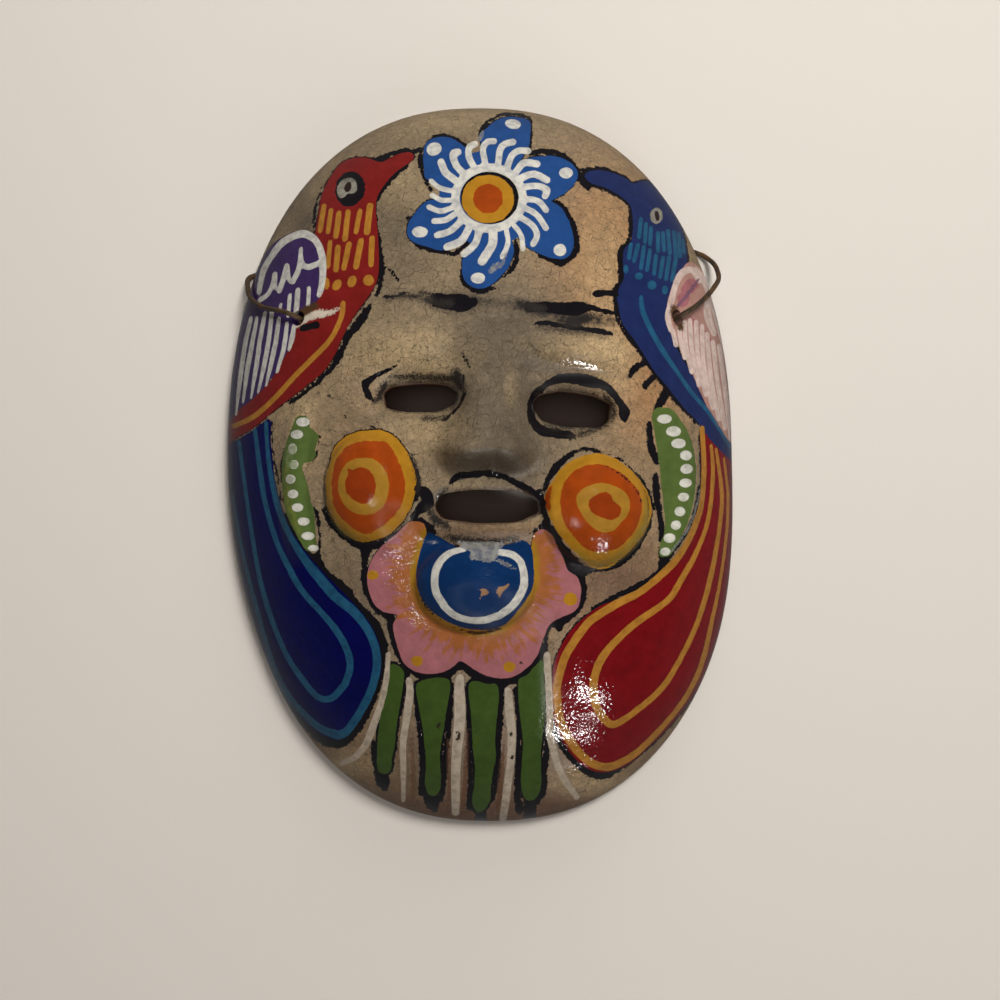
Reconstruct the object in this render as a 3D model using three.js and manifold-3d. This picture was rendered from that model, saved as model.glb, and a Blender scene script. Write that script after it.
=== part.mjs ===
// A painted terracotta wall mask, lying face up on the flat back of its clay wall,
// with the iron wire it is hung by still in its two holes.
// Millimetres: +X is the viewer's right, +Y runs up from chin to forehead, and +Z comes
// out of the face. The origin lies under the middle of the mask, on the surface it rests on.

import * as THREE from 'three';
import { mergeVertices } from 'three/addons/utils/BufferGeometryUtils.js';
import Module from 'manifold-3d';

const wasm = await Module();
wasm.setup();

// The clay shell: its outline, its bulge and its wall
const HALF_WIDTH = 52.9;
const HALF_HEIGHT = 74.8;
const BULGE = 31;
const WALL = 5.5;
const OUTLINE_POWER = 2.3; // 2 gives an ellipse, and more gives squarer shoulders
const BULGE_POWER = 2.6; // more keeps the face flatter before it turns down to the rim
const BULGE_ROUNDNESS = 0.6;
const JAW_DRIFT = 1.9; // the jaw sits this far to the viewer's right of the brow
const JAW_DRIFT_FROM = 6;
const JAW_DRIFT_OVER = 52;
const HOLLOW_DROP = 1; // the hollow starts this far below the rim, so that it cuts clean
const HOLLOW_FOLLOWS = 0.6; // how much of the face's relief shows from inside

// The grids that carry the outer and the inner surface
const OUTER_CELLS = 48;
const INNER_CELLS = 22;
const RIM_CROWDING = 0.1;
const RIM_CROWDING_POWER = 8;

// Nose
const NOSE_X = 1.8;
const NOSE_ROOT_Y = 30;
const NOSE_TIP_Y = 3;
const NOSE_BASE_Y = -3;
const NOSE_HEIGHT = 8.5;
const NOSE_ROOT_HEIGHT = 1.5;
const NOSE_ROOT_HALF_WIDTH = 5;
const NOSE_TIP_HALF_WIDTH = 7.5;

// Low swellings and hollows of the face: middle, half sizes, height and tilt in degrees
const SWELLINGS = [
  { name: 'left brow', x: -10.5, y: 23.5, rx: 17, ry: 6.5, height: 3.2, tilt: 6 },
  { name: 'right brow', x: 16.5, y: 22, rx: 18, ry: 6.5, height: 3.2, tilt: -8 },
  { name: 'left eye hollow', x: -11.5, y: 12.5, rx: 13, ry: 8, height: -3.4, tilt: 0 },
  { name: 'right eye hollow', x: 18, y: 10.6, rx: 13, ry: 8.5, height: -3.4, tilt: -4 },
  { name: 'left nostril', x: -3.2, y: 1.6, rx: 4.5, ry: 4.5, height: 2.2, tilt: 0 },
  { name: 'right nostril', x: 6.8, y: 1.4, rx: 4.5, ry: 4.5, height: 2.2, tilt: 0 },
  { name: 'lips', x: 1.7, y: -9.2, rx: 12.5, ry: 7.6, height: 3, tilt: 0 },
];

// Ears: low crescents down the sides, under the painted leaves
const EARS = [
  { side: -1, x: -36.2, y: -4, halfLength: 16, bow: 3, halfWidth: 3.4, height: 1.4 },
  { side: 1, x: 41.4, y: -4, halfLength: 16, bow: 5, halfWidth: 3.8, height: 1.4 },
];

// Lumps of clay stuck on: the two cheeks and the chin
const LUMPS = [
  { name: 'left cheek', x: -20.4, y: -4.6, rx: 9.4, ry: 11, rz: 7 },
  { name: 'right cheek', x: 22.6, y: -9, rx: 10.8, ry: 10.9, rz: 7.2 },
  { name: 'chin', x: -0.4, y: -23, rx: 11.8, ry: 9.4, rz: 7.2 },
];
const LUMP_SINK = 2; // how far a lump's widest level lies below the face around it
const LUMP_SIDES = 24;
const LUMP_RINGS = 12;

// Openings cut right through the face
const SLITS = [
  { name: 'left eye', x: -11, y: 12.6, halfLength: 7.2, halfHeight: 2.8, tilt: 0 },
  { name: 'right eye', x: 18.1, y: 10.4, halfLength: 7.5, halfHeight: 3.4, tilt: -5 },
  { name: 'mouth', x: 1.7, y: -8.1, halfLength: 9.8, halfHeight: 3.2, tilt: 0 },
];
const SLIT_POWER = 2.6;
const SLIT_SIDES = 24;

// Hanging wire and the two holes that it goes through
const WIRE_DIAMETER = 1;
const WIRE_SIDES = 8;
const WIRE_STEPS = 120;
const HOLE_DIAMETER = 3;
const HOLE_SIDES = 12;
const HOLE_REACH = 14;
const HOLES = [
  { x: -34.9, y: 28.3 },
  { x: 39.1, y: 28.9 },
];

// The wire's middle line: from a hook in the hollow out through the left hole, down round the
// rim, across the back on the surface below, up round the rim and in through the right hole
const WIRE_ROUTE = [
  [-29.4, 31.2, 15.2],
  [-28.7, 29.6, 14.3],
  [-29.3, 27.8, 14.2],
  [-30.4, 26.7, 15.6],
  [-31.6, 27, 17.6],
  [-33.3, 27.5, 20.4],
  [-34.9, 28.1, 23],
  [-35.9, 28.5, 24.4],
  [-37.4, 29.1, 24],
  [-39.6, 29.9, 21.4],
  [-42.7, 31, 17.8],
  [-45.4, 32.8, 13.8],
  [-47, 34.6, 10.2],
  [-48, 36.9, 6.2],
  [-48.6, 38.6, 3.2],
  [-48.3, 39.7, 1.4],
  [-47.3, 40.2, 0.64],
  [-44.5, 40.8, 0.54],
  [-36, 43.6, 0.54],
  [-18, 47.6, 0.54],
  [0, 49, 0.54],
  [18, 48.8, 0.54],
  [34, 47, 0.54],
  [42.5, 45.6, 0.54],
  [46.1, 44.7, 0.64],
  [47.8, 43.5, 1.6],
  [48.7, 42.1, 3.6],
  [49, 40.2, 6.4],
  [48.7, 37.9, 9.8],
  [47.5, 36, 12.6],
  [45.5, 33.6, 15.4],
  [42.9, 31.2, 18.8],
  [41.3, 30, 20.9],
  [40, 29.2, 21.3],
  [38.9, 28.6, 19.8],
  [37, 28.1, 17.4],
  [35, 27.5, 14.9],
  [33.8, 27.5, 13.4],
  [32.6, 28.5, 12.5],
  [32.2, 30.2, 12.7],
  [32.8, 31.6, 13.6],
];

const MASK_MIDDLE_X = 0.12; // the drifting jaw puts the middle of the width this far off

// The mask leans on the wire where it passes under the rim: its chin is down, its forehead up
const LEAN = THREE.MathUtils.degToRad(0.68);

function smoothStep(t) {
  const c = Math.min(1, Math.max(0, t));
  return c * c * (3 - 2 * c);
}

function jawShift(y) {
  return JAW_DRIFT * smoothStep((JAW_DRIFT_FROM - y) / JAW_DRIFT_OVER);
}

// How far a place is from the middle, from 0 there to 1 on an outline of the given size
function outlineShare(x, y, halfWidth, halfHeight) {
  const across = Math.abs((x - jawShift(y)) / halfWidth) ** OUTLINE_POWER;
  const along = Math.abs(y / halfHeight) ** OUTLINE_POWER;
  return Math.min(1, (across + along) ** (1 / OUTLINE_POWER));
}

function bulge(share, height) {
  return height * (1 - share ** BULGE_POWER) ** BULGE_ROUNDNESS;
}

// Where a place lies in an ellipse that is turned by tilt: 0 in the middle and 1 on its edge
function ellipseShare(x, y, shape) {
  const turn = THREE.MathUtils.degToRad(shape.tilt);
  const dx = x - shape.x;
  const dy = y - shape.y;
  const along = (dx * Math.cos(turn) + dy * Math.sin(turn)) / shape.rx;
  const across = (dy * Math.cos(turn) - dx * Math.sin(turn)) / shape.ry;
  return Math.hypot(along, across);
}

function swelling(x, y, shape) {
  const share = Math.min(1, ellipseShare(x, y, shape));
  return shape.height * (1 - share * share) ** 2;
}

// A ridge that grows from the root to the tip and then drops away to the upper lip
function nose(x, y) {
  const down = Math.min(1, Math.max(0, (NOSE_ROOT_Y - y) / (NOSE_ROOT_Y - NOSE_TIP_Y)));
  const grown = NOSE_ROOT_HEIGHT + (NOSE_HEIGHT - NOSE_ROOT_HEIGHT) * down ** 1.4;
  const begins = smoothStep((NOSE_ROOT_Y + 8 - y) / 16);
  const ends = smoothStep((y - NOSE_BASE_Y) / (NOSE_TIP_Y - NOSE_BASE_Y));
  const width = NOSE_ROOT_HALF_WIDTH + (NOSE_TIP_HALF_WIDTH - NOSE_ROOT_HALF_WIDTH) * down;
  return grown * begins * ends * Math.exp(-(Math.abs((x - NOSE_X) / width) ** 2.2));
}

function ear(x, y, shape) {
  const along = Math.min(1, Math.abs((y - shape.y) / shape.halfLength));
  const middle = shape.x - shape.side * shape.bow * along * along;
  const across = Math.min(1, Math.abs((x - middle) / shape.halfWidth));
  return shape.height * (1 - along ** 4) * (1 - across * across) ** 1.5;
}

function relief(x, y) {
  let height = nose(x, y);
  for (const shape of SWELLINGS) height += swelling(x, y, shape);
  for (const shape of EARS) height += ear(x, y, shape);
  return height;
}

function faceHeight(x, y) {
  const share = outlineShare(x, y, HALF_WIDTH, HALF_HEIGHT);
  return bulge(share, BULGE) + relief(x, y) * smoothStep((1 - share) / 0.12);
}

function hollowHeight(x, y) {
  const share = outlineShare(x, y, HALF_WIDTH - WALL, HALF_HEIGHT - WALL);
  const followed = HOLLOW_FOLLOWS * relief(x, y) * smoothStep((1 - share) / 0.3);
  return bulge(share, BULGE - WALL) + followed - HOLLOW_DROP;
}

// A domed solid: a square grid is bent onto the outline, so that it has no pole, lifted by
// the height function, and closed below by a flat base
function domedSolid(halfWidth, halfHeight, cells, height, baseHeight) {
  const row = cells + 1;
  const positions = [];
  const triangles = [];
  for (let j = 0; j <= cells; j += 1) {
    for (let i = 0; i <= cells; i += 1) {
      const s = (2 * i) / cells - 1;
      const t = (2 * j) / cells - 1;
      const u = s * Math.sqrt(1 - (t * t) / 2);
      const v = t * Math.sqrt(1 - (s * s) / 2);
      const spread = Math.hypot(u, v);
      const turn = Math.atan2(v, u);
      const onRim = i === 0 || j === 0 || i === cells || j === cells;
      const crowded = spread * (1 + RIM_CROWDING) - RIM_CROWDING * spread ** RIM_CROWDING_POWER;
      const share = onRim ? 1 : crowded;
      const c = Math.cos(turn);
      const d = Math.sin(turn);
      const powers = Math.abs(c) ** OUTLINE_POWER + Math.abs(d) ** OUTLINE_POWER;
      const reach = share / powers ** (1 / OUTLINE_POWER);
      const y = halfHeight * reach * d;
      const x = halfWidth * reach * c + jawShift(y);
      positions.push(x, y, onRim ? baseHeight : height(x, y));
    }
  }
  for (let j = 0; j < cells; j += 1) {
    for (let i = 0; i < cells; i += 1) {
      const a = j * row + i;
      const b = a + 1;
      const c = b + row;
      const d = a + row;
      const leansRight = i < cells / 2 === j < cells / 2;
      if (leansRight) triangles.push(a, b, c, a, c, d);
      else triangles.push(a, b, d, b, c, d);
    }
  }
  const rim = [];
  for (let i = 0; i < cells; i += 1) rim.push(i);
  for (let j = 0; j < cells; j += 1) rim.push(j * row + cells);
  for (let i = cells; i > 0; i -= 1) rim.push(cells * row + i);
  for (let j = cells; j > 0; j -= 1) rim.push(j * row);
  const middle = positions.length / 3;
  positions.push(0, 0, baseHeight);
  rim.forEach((from, k) => triangles.push(middle, rim[(k + 1) % rim.length], from));
  const geometry = new THREE.BufferGeometry();
  geometry.setAttribute('position', new THREE.Float32BufferAttribute(positions, 3));
  geometry.setIndex(triangles);
  return geometry;
}

function toSolid(geometry) {
  const bare = geometry.clone();
  bare.deleteAttribute('normal');
  bare.deleteAttribute('uv');
  const merged = mergeVertices(bare, 1e-4);
  return new wasm.Manifold(
    new wasm.Mesh({
      numProp: 3,
      vertProperties: new Float32Array(merged.attributes.position.array),
      triVerts: new Uint32Array(merged.index.array),
    }),
  );
}

function toGeometry(solid) {
  const mesh = solid.getMesh();
  const geometry = new THREE.BufferGeometry();
  geometry.setAttribute('position', new THREE.Float32BufferAttribute(mesh.vertProperties, 3));
  geometry.setIndex(new THREE.Uint32BufferAttribute(mesh.triVerts, 1));
  geometry.computeVertexNormals();
  return geometry;
}

// The outward direction of the plain bulge at a place, from its slopes
function bulgeNormal(x, y) {
  const step = 0.5;
  const at = (px, py) => bulge(outlineShare(px, py, HALF_WIDTH, HALF_HEIGHT), BULGE);
  const slopeX = (at(x + step, y) - at(x - step, y)) / (2 * step);
  const slopeY = (at(x, y + step) - at(x, y - step)) / (2 * step);
  return new THREE.Vector3(-slopeX, -slopeY, 1).normalize();
}

function lumpOfClay(lump) {
  const geometry = new THREE.SphereGeometry(1, LUMP_SIDES, LUMP_RINGS);
  geometry.rotateX(Math.PI / 2);
  geometry.scale(lump.rx, lump.ry, lump.rz);
  geometry.translate(0, 0, -LUMP_SINK);
  const up = new THREE.Vector3(0, 0, 1);
  geometry.applyQuaternion(new THREE.Quaternion().setFromUnitVectors(up, bulgeNormal(lump.x, lump.y)));
  geometry.translate(lump.x, lump.y, faceHeight(lump.x, lump.y));
  return toSolid(geometry);
}

// A cutter with a rounded oblong section, straight through the face
function slitCutter(slit) {
  const turn = THREE.MathUtils.degToRad(slit.tilt);
  const points = [];
  for (let k = 0; k < SLIT_SIDES; k += 1) {
    const angle = (2 * Math.PI * k) / SLIT_SIDES;
    const c = Math.cos(angle);
    const s = Math.sin(angle);
    const x = slit.halfLength * Math.sign(c) * Math.abs(c) ** (2 / SLIT_POWER);
    const y = slit.halfHeight * Math.sign(s) * Math.abs(s) ** (2 / SLIT_POWER);
    points.push(
      new THREE.Vector2(
        slit.x + x * Math.cos(turn) - y * Math.sin(turn),
        slit.y + x * Math.sin(turn) + y * Math.cos(turn),
      ),
    );
  }
  const depth = BULGE * 2;
  const geometry = new THREE.ExtrudeGeometry(new THREE.Shape(points), { depth, bevelEnabled: false });
  return toSolid(geometry);
}

function holeCutter(hole) {
  const radius = HOLE_DIAMETER / 2;
  const geometry = new THREE.CylinderGeometry(radius, radius, 2 * HOLE_REACH, HOLE_SIDES);
  const up = new THREE.Vector3(0, 1, 0);
  geometry.applyQuaternion(new THREE.Quaternion().setFromUnitVectors(up, bulgeNormal(hole.x, hole.y)));
  geometry.translate(hole.x, hole.y, faceHeight(hole.x, hole.y));
  return toSolid(geometry);
}

function maskShell() {
  let clay = toSolid(domedSolid(HALF_WIDTH, HALF_HEIGHT, OUTER_CELLS, faceHeight, 0));
  for (const lump of LUMPS) clay = clay.add(lumpOfClay(lump));
  const hollow = domedSolid(
    HALF_WIDTH - WALL,
    HALF_HEIGHT - WALL,
    INNER_CELLS,
    hollowHeight,
    -HOLLOW_DROP,
  );
  clay = clay.subtract(toSolid(hollow));
  for (const slit of SLITS) clay = clay.subtract(slitCutter(slit));
  for (const hole of HOLES) clay = clay.subtract(holeCutter(hole));
  return toGeometry(clay);
}

function hangingWire() {
  const middleLine = new THREE.CatmullRomCurve3(WIRE_ROUTE.map((point) => new THREE.Vector3(...point)));
  const section = [];
  for (let k = 0; k < WIRE_SIDES; k += 1) {
    const angle = (2 * Math.PI * k) / WIRE_SIDES;
    section.push(new THREE.Vector2(Math.cos(angle), Math.sin(angle)).multiplyScalar(WIRE_DIAMETER / 2));
  }
  const settings = { steps: WIRE_STEPS, extrudePath: middleLine, bevelEnabled: false };
  return new THREE.ExtrudeGeometry(new THREE.Shape(section), settings);
}

const terracotta = new THREE.MeshStandardMaterial({ color: 0xae8a66, roughness: 0.6, metalness: 0 });
const rustyIron = new THREE.MeshStandardMaterial({ color: 0x4a3528, roughness: 0.7, metalness: 0.6 });

const mask = new THREE.Mesh(maskShell(), terracotta);
mask.name = 'mask_shell';
mask.position.set(-MASK_MIDDLE_X, 0, HALF_HEIGHT * Math.sin(LEAN));
mask.rotation.x = LEAN;

const wire = new THREE.Mesh(hangingWire(), rustyIron);
wire.name = 'hanging_wire';

const group = new THREE.Group();
group.add(mask, wire);
export default group;
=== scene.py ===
# %% [markdown]
# # A painted terracotta wall mask
#
# The real object is a thin shell of low fired clay, pressed over a form by hand, with lumps
# for the cheeks and the chin, slits for the eyes and the mouth, and a brushed ornament of two
# birds, a flower and leaves under a worn varnish. An iron wire to hang it by goes through a
# hole at each side. It lies on its back edge, and the camera looks straight down on it.
#
# The construction comes first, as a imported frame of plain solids. Everything made below has
# to stay inside that frame, so its box is kept before anything is added.

# %% Load the frame
import math

import bpy
import numpy as np
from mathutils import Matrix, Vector


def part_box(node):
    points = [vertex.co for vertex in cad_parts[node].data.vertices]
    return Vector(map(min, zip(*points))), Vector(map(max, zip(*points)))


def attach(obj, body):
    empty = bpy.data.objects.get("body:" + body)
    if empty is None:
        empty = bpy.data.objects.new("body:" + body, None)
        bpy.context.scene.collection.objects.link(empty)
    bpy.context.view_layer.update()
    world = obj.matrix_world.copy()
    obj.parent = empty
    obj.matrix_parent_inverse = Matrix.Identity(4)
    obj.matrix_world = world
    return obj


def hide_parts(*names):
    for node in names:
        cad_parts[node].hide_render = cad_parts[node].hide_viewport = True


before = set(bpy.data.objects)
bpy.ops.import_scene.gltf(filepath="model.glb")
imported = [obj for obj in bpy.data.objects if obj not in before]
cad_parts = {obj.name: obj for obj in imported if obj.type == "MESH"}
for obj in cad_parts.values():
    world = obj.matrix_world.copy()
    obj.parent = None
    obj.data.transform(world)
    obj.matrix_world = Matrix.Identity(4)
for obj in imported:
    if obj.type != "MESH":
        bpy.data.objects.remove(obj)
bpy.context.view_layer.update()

MM = 0.001
mask_low, mask_high = (np.array(corner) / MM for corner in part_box("mask_shell"))
print("the clay lies between", mask_low.round(2), "and", mask_high.round(2), "mm")

# %% [markdown]
# ## The shape of the clay
#
# A face in relief can be seen as a landscape: one height for each place of the flat drawing.
# That suits a pressed mask, which has no undercuts, and it lets every form be a short
# formula. The oval outline is a superellipse, a little squarer than an ellipse. A bulge keeps
# the middle flat and turns down steeply to the rim. Swellings, a nose, ears and lumps of clay
# are then added on top. Heights are in millimetres, before the mask leans on its wire.

# %% Driving sizes of the clay
LEAN = math.radians(0.68)
MIDDLE_X = 0.12
HALF_HEIGHT = (mask_high[1] - mask_low[1]) / 2 / math.cos(LEAN)
HALF_WIDTH = 52.9
BULGE = 31.0
WALL = 5.5
OUTLINE_POWER = 2.3
BULGE_POWER = 2.6
BULGE_ROUNDNESS = 0.6
JAW_DRIFT, JAW_DRIFT_FROM, JAW_DRIFT_OVER = 1.9, 6.0, 52.0
HOLLOW_DROP = 1.0
HOLLOW_FOLLOWS = 0.6


def smooth_step(t):
    """Goes from 0 to 1 as t does, level at both ends: 3 t squared less 2 t cubed."""
    t = np.clip(t, 0, 1)
    return t * t * (3 - 2 * t)


def jaw_shift(y):
    """The jaw drifts to the right of the brow by a smooth step along the height."""
    return JAW_DRIFT * smooth_step((JAW_DRIFT_FROM - y) / JAW_DRIFT_OVER)


def outline_share(x, y, half_width=HALF_WIDTH, half_height=HALF_HEIGHT):
    """0 in the middle and 1 on the outline: the root of the summed powers of x/a and y/b."""
    across = np.abs((x - jaw_shift(y)) / half_width) ** OUTLINE_POWER
    along = np.abs(y / half_height) ** OUTLINE_POWER
    return np.minimum(1, (across + along) ** (1 / OUTLINE_POWER))


def bulge(share, height=BULGE):
    """Height of the plain oval: one less a power of the share, to a lower power."""
    return height * (1 - share**BULGE_POWER) ** BULGE_ROUNDNESS


print("the rim is", round(2 * HALF_WIDTH, 1), "by", round(2 * HALF_HEIGHT, 1), "mm")

# %% Low swellings and hollows
SWELLINGS = {
    "left brow": dict(x=-10.5, y=23.5, rx=17, ry=6.5, height=3.2, tilt=6),
    "right brow": dict(x=16.5, y=22, rx=18, ry=6.5, height=3.2, tilt=-8),
    "left eye hollow": dict(x=-11.5, y=12.5, rx=13, ry=8, height=-3.4, tilt=0),
    "right eye hollow": dict(x=18, y=10.6, rx=13, ry=8.5, height=-3.4, tilt=-4),
    "left nostril": dict(x=-3.2, y=1.6, rx=4.5, ry=4.5, height=2.2, tilt=0),
    "right nostril": dict(x=6.8, y=1.4, rx=4.5, ry=4.5, height=2.2, tilt=0),
    "lips": dict(x=1.7, y=-9.2, rx=12.5, ry=7.6, height=3, tilt=0),
}
EARS = {
    "left": dict(side=-1, x=-36.2, y=-4, half_length=16, bow=3, half_width=3.4, height=1.4),
    "right": dict(side=1, x=41.4, y=-4, half_length=16, bow=5, half_width=3.8, height=1.4),
}
NOSE_X, NOSE_ROOT_Y, NOSE_TIP_Y, NOSE_BASE_Y = 1.8, 30, 3, -3
NOSE_HEIGHT, NOSE_ROOT_HEIGHT = 8.5, 1.5
NOSE_ROOT_HALF_WIDTH, NOSE_TIP_HALF_WIDTH = 5, 7.5


def swelling(x, y, shape):
    """A soft mound on a turned ellipse: one less the squared share, all squared."""
    turn = math.radians(shape["tilt"])
    dx, dy = x - shape["x"], y - shape["y"]
    along = (dx * math.cos(turn) + dy * math.sin(turn)) / shape["rx"]
    across = (dy * math.cos(turn) - dx * math.sin(turn)) / shape["ry"]
    share = np.minimum(1, np.hypot(along, across))
    return shape["height"] * (1 - share**2) ** 2


def nose(x, y):
    """A bell section that grows by a power from root to tip, then steps down to the lip."""
    down = np.clip((NOSE_ROOT_Y - y) / (NOSE_ROOT_Y - NOSE_TIP_Y), 0, 1)
    grown = NOSE_ROOT_HEIGHT + (NOSE_HEIGHT - NOSE_ROOT_HEIGHT) * down**1.4
    begins = smooth_step((NOSE_ROOT_Y + 8 - y) / 16)
    ends = smooth_step((y - NOSE_BASE_Y) / (NOSE_TIP_Y - NOSE_BASE_Y))
    width = NOSE_ROOT_HALF_WIDTH + (NOSE_TIP_HALF_WIDTH - NOSE_ROOT_HALF_WIDTH) * down
    return grown * begins * ends * np.exp(-(np.abs((x - NOSE_X) / width) ** 2.2))


def ear(x, y, shape):
    """A low crescent: a rounded section about a middle line that bows outwards."""
    along = np.minimum(1, np.abs((y - shape["y"]) / shape["half_length"]))
    middle = shape["x"] - shape["side"] * shape["bow"] * along**2
    across = np.minimum(1, np.abs((x - middle) / shape["half_width"]))
    return shape["height"] * (1 - along**4) * (1 - across**2) ** 1.5


def relief(x, y):
    """All that is laid on the plain bulge, apart from the lumps."""
    height = nose(x, y)
    for shape in SWELLINGS.values():
        height = height + swelling(x, y, shape)
    for shape in EARS.values():
        height = height + ear(x, y, shape)
    return height


# %% Lumps of clay for the cheeks and the chin
LUMPS = {
    "left cheek": dict(x=-20.4, y=-4.6, radii=(9.4, 11, 7)),
    "right cheek": dict(x=22.6, y=-9, radii=(10.8, 10.9, 7.2)),
    "chin": dict(x=-0.4, y=-23, radii=(11.8, 9.4, 7.2)),
}
LUMP_SINK = 2.0
LUMP_FILLET = 0.7


def bulge_normal(x, y, step=0.5):
    """The outward direction of the plain bulge, from its slopes over a small step."""
    east, west = bulge(outline_share(x + step, y)), bulge(outline_share(x - step, y))
    north, south = bulge(outline_share(x, y + step)), bulge(outline_share(x, y - step))
    normal = np.array([(west - east) / (2 * step), (south - north) / (2 * step), 1.0])
    return normal / np.linalg.norm(normal)


def turn_up_to(normal):
    """The shortest turn that takes straight up to a direction, as a matrix."""
    x, y, z = normal
    cross = np.array([[0, 0, x], [0, 0, y], [-x, -y, 0]])
    return np.eye(3) + cross + cross @ cross / (1 + z)


def lump_height(x, y, lump):
    """The upper crossing of an upright line with a turned, half sunk ellipsoid: the larger
    root of a quadratic in z, and far below the face where there is none."""
    centre = np.array([lump["x"], lump["y"], 0.0])
    centre[2] = bulge(outline_share(lump["x"], lump["y"])) + relief(lump["x"], lump["y"])
    turn = turn_up_to(bulge_normal(lump["x"], lump["y"]))
    radii = np.array(lump["radii"])
    flat = np.stack([x - centre[0], y - centre[1], np.full_like(x, -centre[2])], axis=-1)
    start = (flat @ turn + np.array([0, 0, LUMP_SINK])) / radii
    rise = turn.T @ np.array([0, 0, 1.0]) / radii
    a, b = rise @ rise, start @ rise
    inside = b**2 - a * (np.sum(start**2, axis=-1) - 1)
    return np.where(inside > 0, (np.sqrt(np.maximum(inside, 0)) - b) / a, -10.0)


def soft_max(low, high, blend):
    """The larger of two heights, with a fillet where they cross."""
    share = np.clip(0.5 + 0.5 * (high - low) / blend, 0, 1)
    return low + (high - low) * share + blend * share * (1 - share)


# %% Slits and wire holes
SLITS = {
    "left eye": dict(x=-11, y=12.6, half_length=7.2, half_height=2.8, tilt=0),
    "right eye": dict(x=18.1, y=10.4, half_length=7.5, half_height=3.4, tilt=-5),
    "mouth": dict(x=1.7, y=-8.1, half_length=9.8, half_height=3.2, tilt=0),
}
SLIT_POWER = 2.6
SLIT_LIP = 1.3
HOLES = {"left": (-34.9, 28.3), "right": (39.1, 28.9)}
HOLE_RADIUS = 1.5


def slit_level(x, y, slit):
    """1 on the slit's outline, which is a squarish superellipse turned by its tilt."""
    turn = math.radians(slit["tilt"])
    dx, dy = x - slit["x"], y - slit["y"]
    along = np.abs((dx * math.cos(turn) + dy * math.sin(turn)) / slit["half_length"])
    across = np.abs((dy * math.cos(turn) - dx * math.sin(turn)) / slit["half_height"])
    return (along**SLIT_POWER + across**SLIT_POWER) ** (1 / SLIT_POWER)


def slit_distance(x, y, slit, step=0.05):
    """Distance to the outline, nearly: how far the level is from 1, over its slope."""
    level = slit_level(x, y, slit)
    slope = np.hypot(
        slit_level(x + step, y, slit) - slit_level(x - step, y, slit),
        slit_level(x, y + step, slit) - slit_level(x, y - step, slit),
    )
    return (level - 1) * 2 * step / np.maximum(slope, 1e-4)


def ripple(x, y, amplitude, wavelength, terms=14, seed=3):
    """The unevenness of handwork: a sum of sine waves in random directions."""
    draw = np.random.default_rng(seed)
    total = np.zeros_like(x)
    for _ in range(terms):
        angle, phase = draw.uniform(0, 2 * np.pi, 2)
        number = 2 * np.pi / (wavelength * draw.uniform(0.6, 1.8))
        total += np.sin(number * (x * np.cos(angle) + y * np.sin(angle)) + phase)
    return amplitude * total / math.sqrt(terms)


def face_height(x, y):
    """The outer surface: bulge and relief, lumps with a fillet, rolled slit edges, handwork."""
    share = outline_share(x, y)
    height = bulge(share) + relief(x, y) * smooth_step((1 - share) / 0.12)
    height = height + ripple(x, y, 0.1, 11.0) * smooth_step((1 - share) / 0.06)
    for lump in LUMPS.values():
        height = soft_max(height, lump_height(x, y, lump), LUMP_FILLET)
    for slit in SLITS.values():
        edge = slit_distance(x, y, slit)
        rolled = np.clip(1 - edge / SLIT_LIP, 0, 1) ** 2
        height = height + 0.45 * np.exp(-(((edge - 2.2) / 1.1) ** 2)) - 0.9 * rolled
    return height


def hollow_height(x, y):
    """The inner surface: a smaller bulge, which follows the relief only in part."""
    share = outline_share(x, y, HALF_WIDTH - WALL, HALF_HEIGHT - WALL)
    followed = HOLLOW_FOLLOWS * relief(x, y) * smooth_step((1 - share) / 0.3)
    return bulge(share, BULGE - WALL) + followed + ripple(x, y, 0.16, 9.0, seed=5) - HOLLOW_DROP


print("the nose tip stands", round(float(face_height(np.array(1.8), np.array(3.0))), 1), "mm high")

# %% [markdown]
# ## One closed mesh for the shell
#
# A sphere-like grid would have a pole, where long thin faces meet in a star. A square grid
# has none: each of its squares is bent until the square's outline is the oval rim. The outer
# face and the hollow behind it are two such grids, with three outer cells to each inner one.
# Between them lie a rounded outer edge, a flat rim and a rounded inner edge, so the whole
# shell is one closed skin with its faces pointing out of the clay.

# %% Grids bent to the oval outline
INNER_CELLS = 92
OUTER_CELLS = 3 * INNER_CELLS
RIM_CROWDING, RIM_CROWDING_POWER = 0.1, 8
EDGE_ROUND, INNER_EDGE_ROUND = 0.8, 0.6


def on_outline(turn, reach, inset):
    """A place at a share of the way out: cosine and sine over the root of their summed
    powers, times the half sizes less the inset, drifted with the jaw."""
    c, s = np.cos(turn), np.sin(turn)
    powers = np.abs(c) ** OUTLINE_POWER + np.abs(s) ** OUTLINE_POWER
    spread = reach / powers ** (1 / OUTLINE_POWER)
    y = (HALF_HEIGHT - inset) * spread * s
    return (HALF_WIDTH - inset) * spread * c + jaw_shift(y), y


def oval_grid(cells, inset):
    """A square grid on the unit disc, u = s root(1 - t2/2) and v = t root(1 - s2/2), with
    its rings crowded towards the rim, then stretched onto the outline."""
    side = np.linspace(-1, 1, cells + 1)
    s, t = np.meshgrid(side, side)
    u, v = s * np.sqrt(1 - t**2 / 2), t * np.sqrt(1 - s**2 / 2)
    spread = np.hypot(u, v)
    crowded = spread * (1 + RIM_CROWDING) - RIM_CROWDING * spread**RIM_CROWDING_POWER
    reach = np.where(np.maximum(np.abs(s), np.abs(t)) > 1 - 1e-9, 1, crowded)
    return on_outline(np.arctan2(v, u), reach, inset)


def rim_order(cells):
    """Indices of a grid's outline, anticlockwise from its lower left corner."""
    index = np.arange((cells + 1) ** 2).reshape(cells + 1, cells + 1)
    return np.concatenate([index[0, :-1], index[:-1, -1], index[-1, :0:-1], index[:0:-1, 0]])


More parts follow.
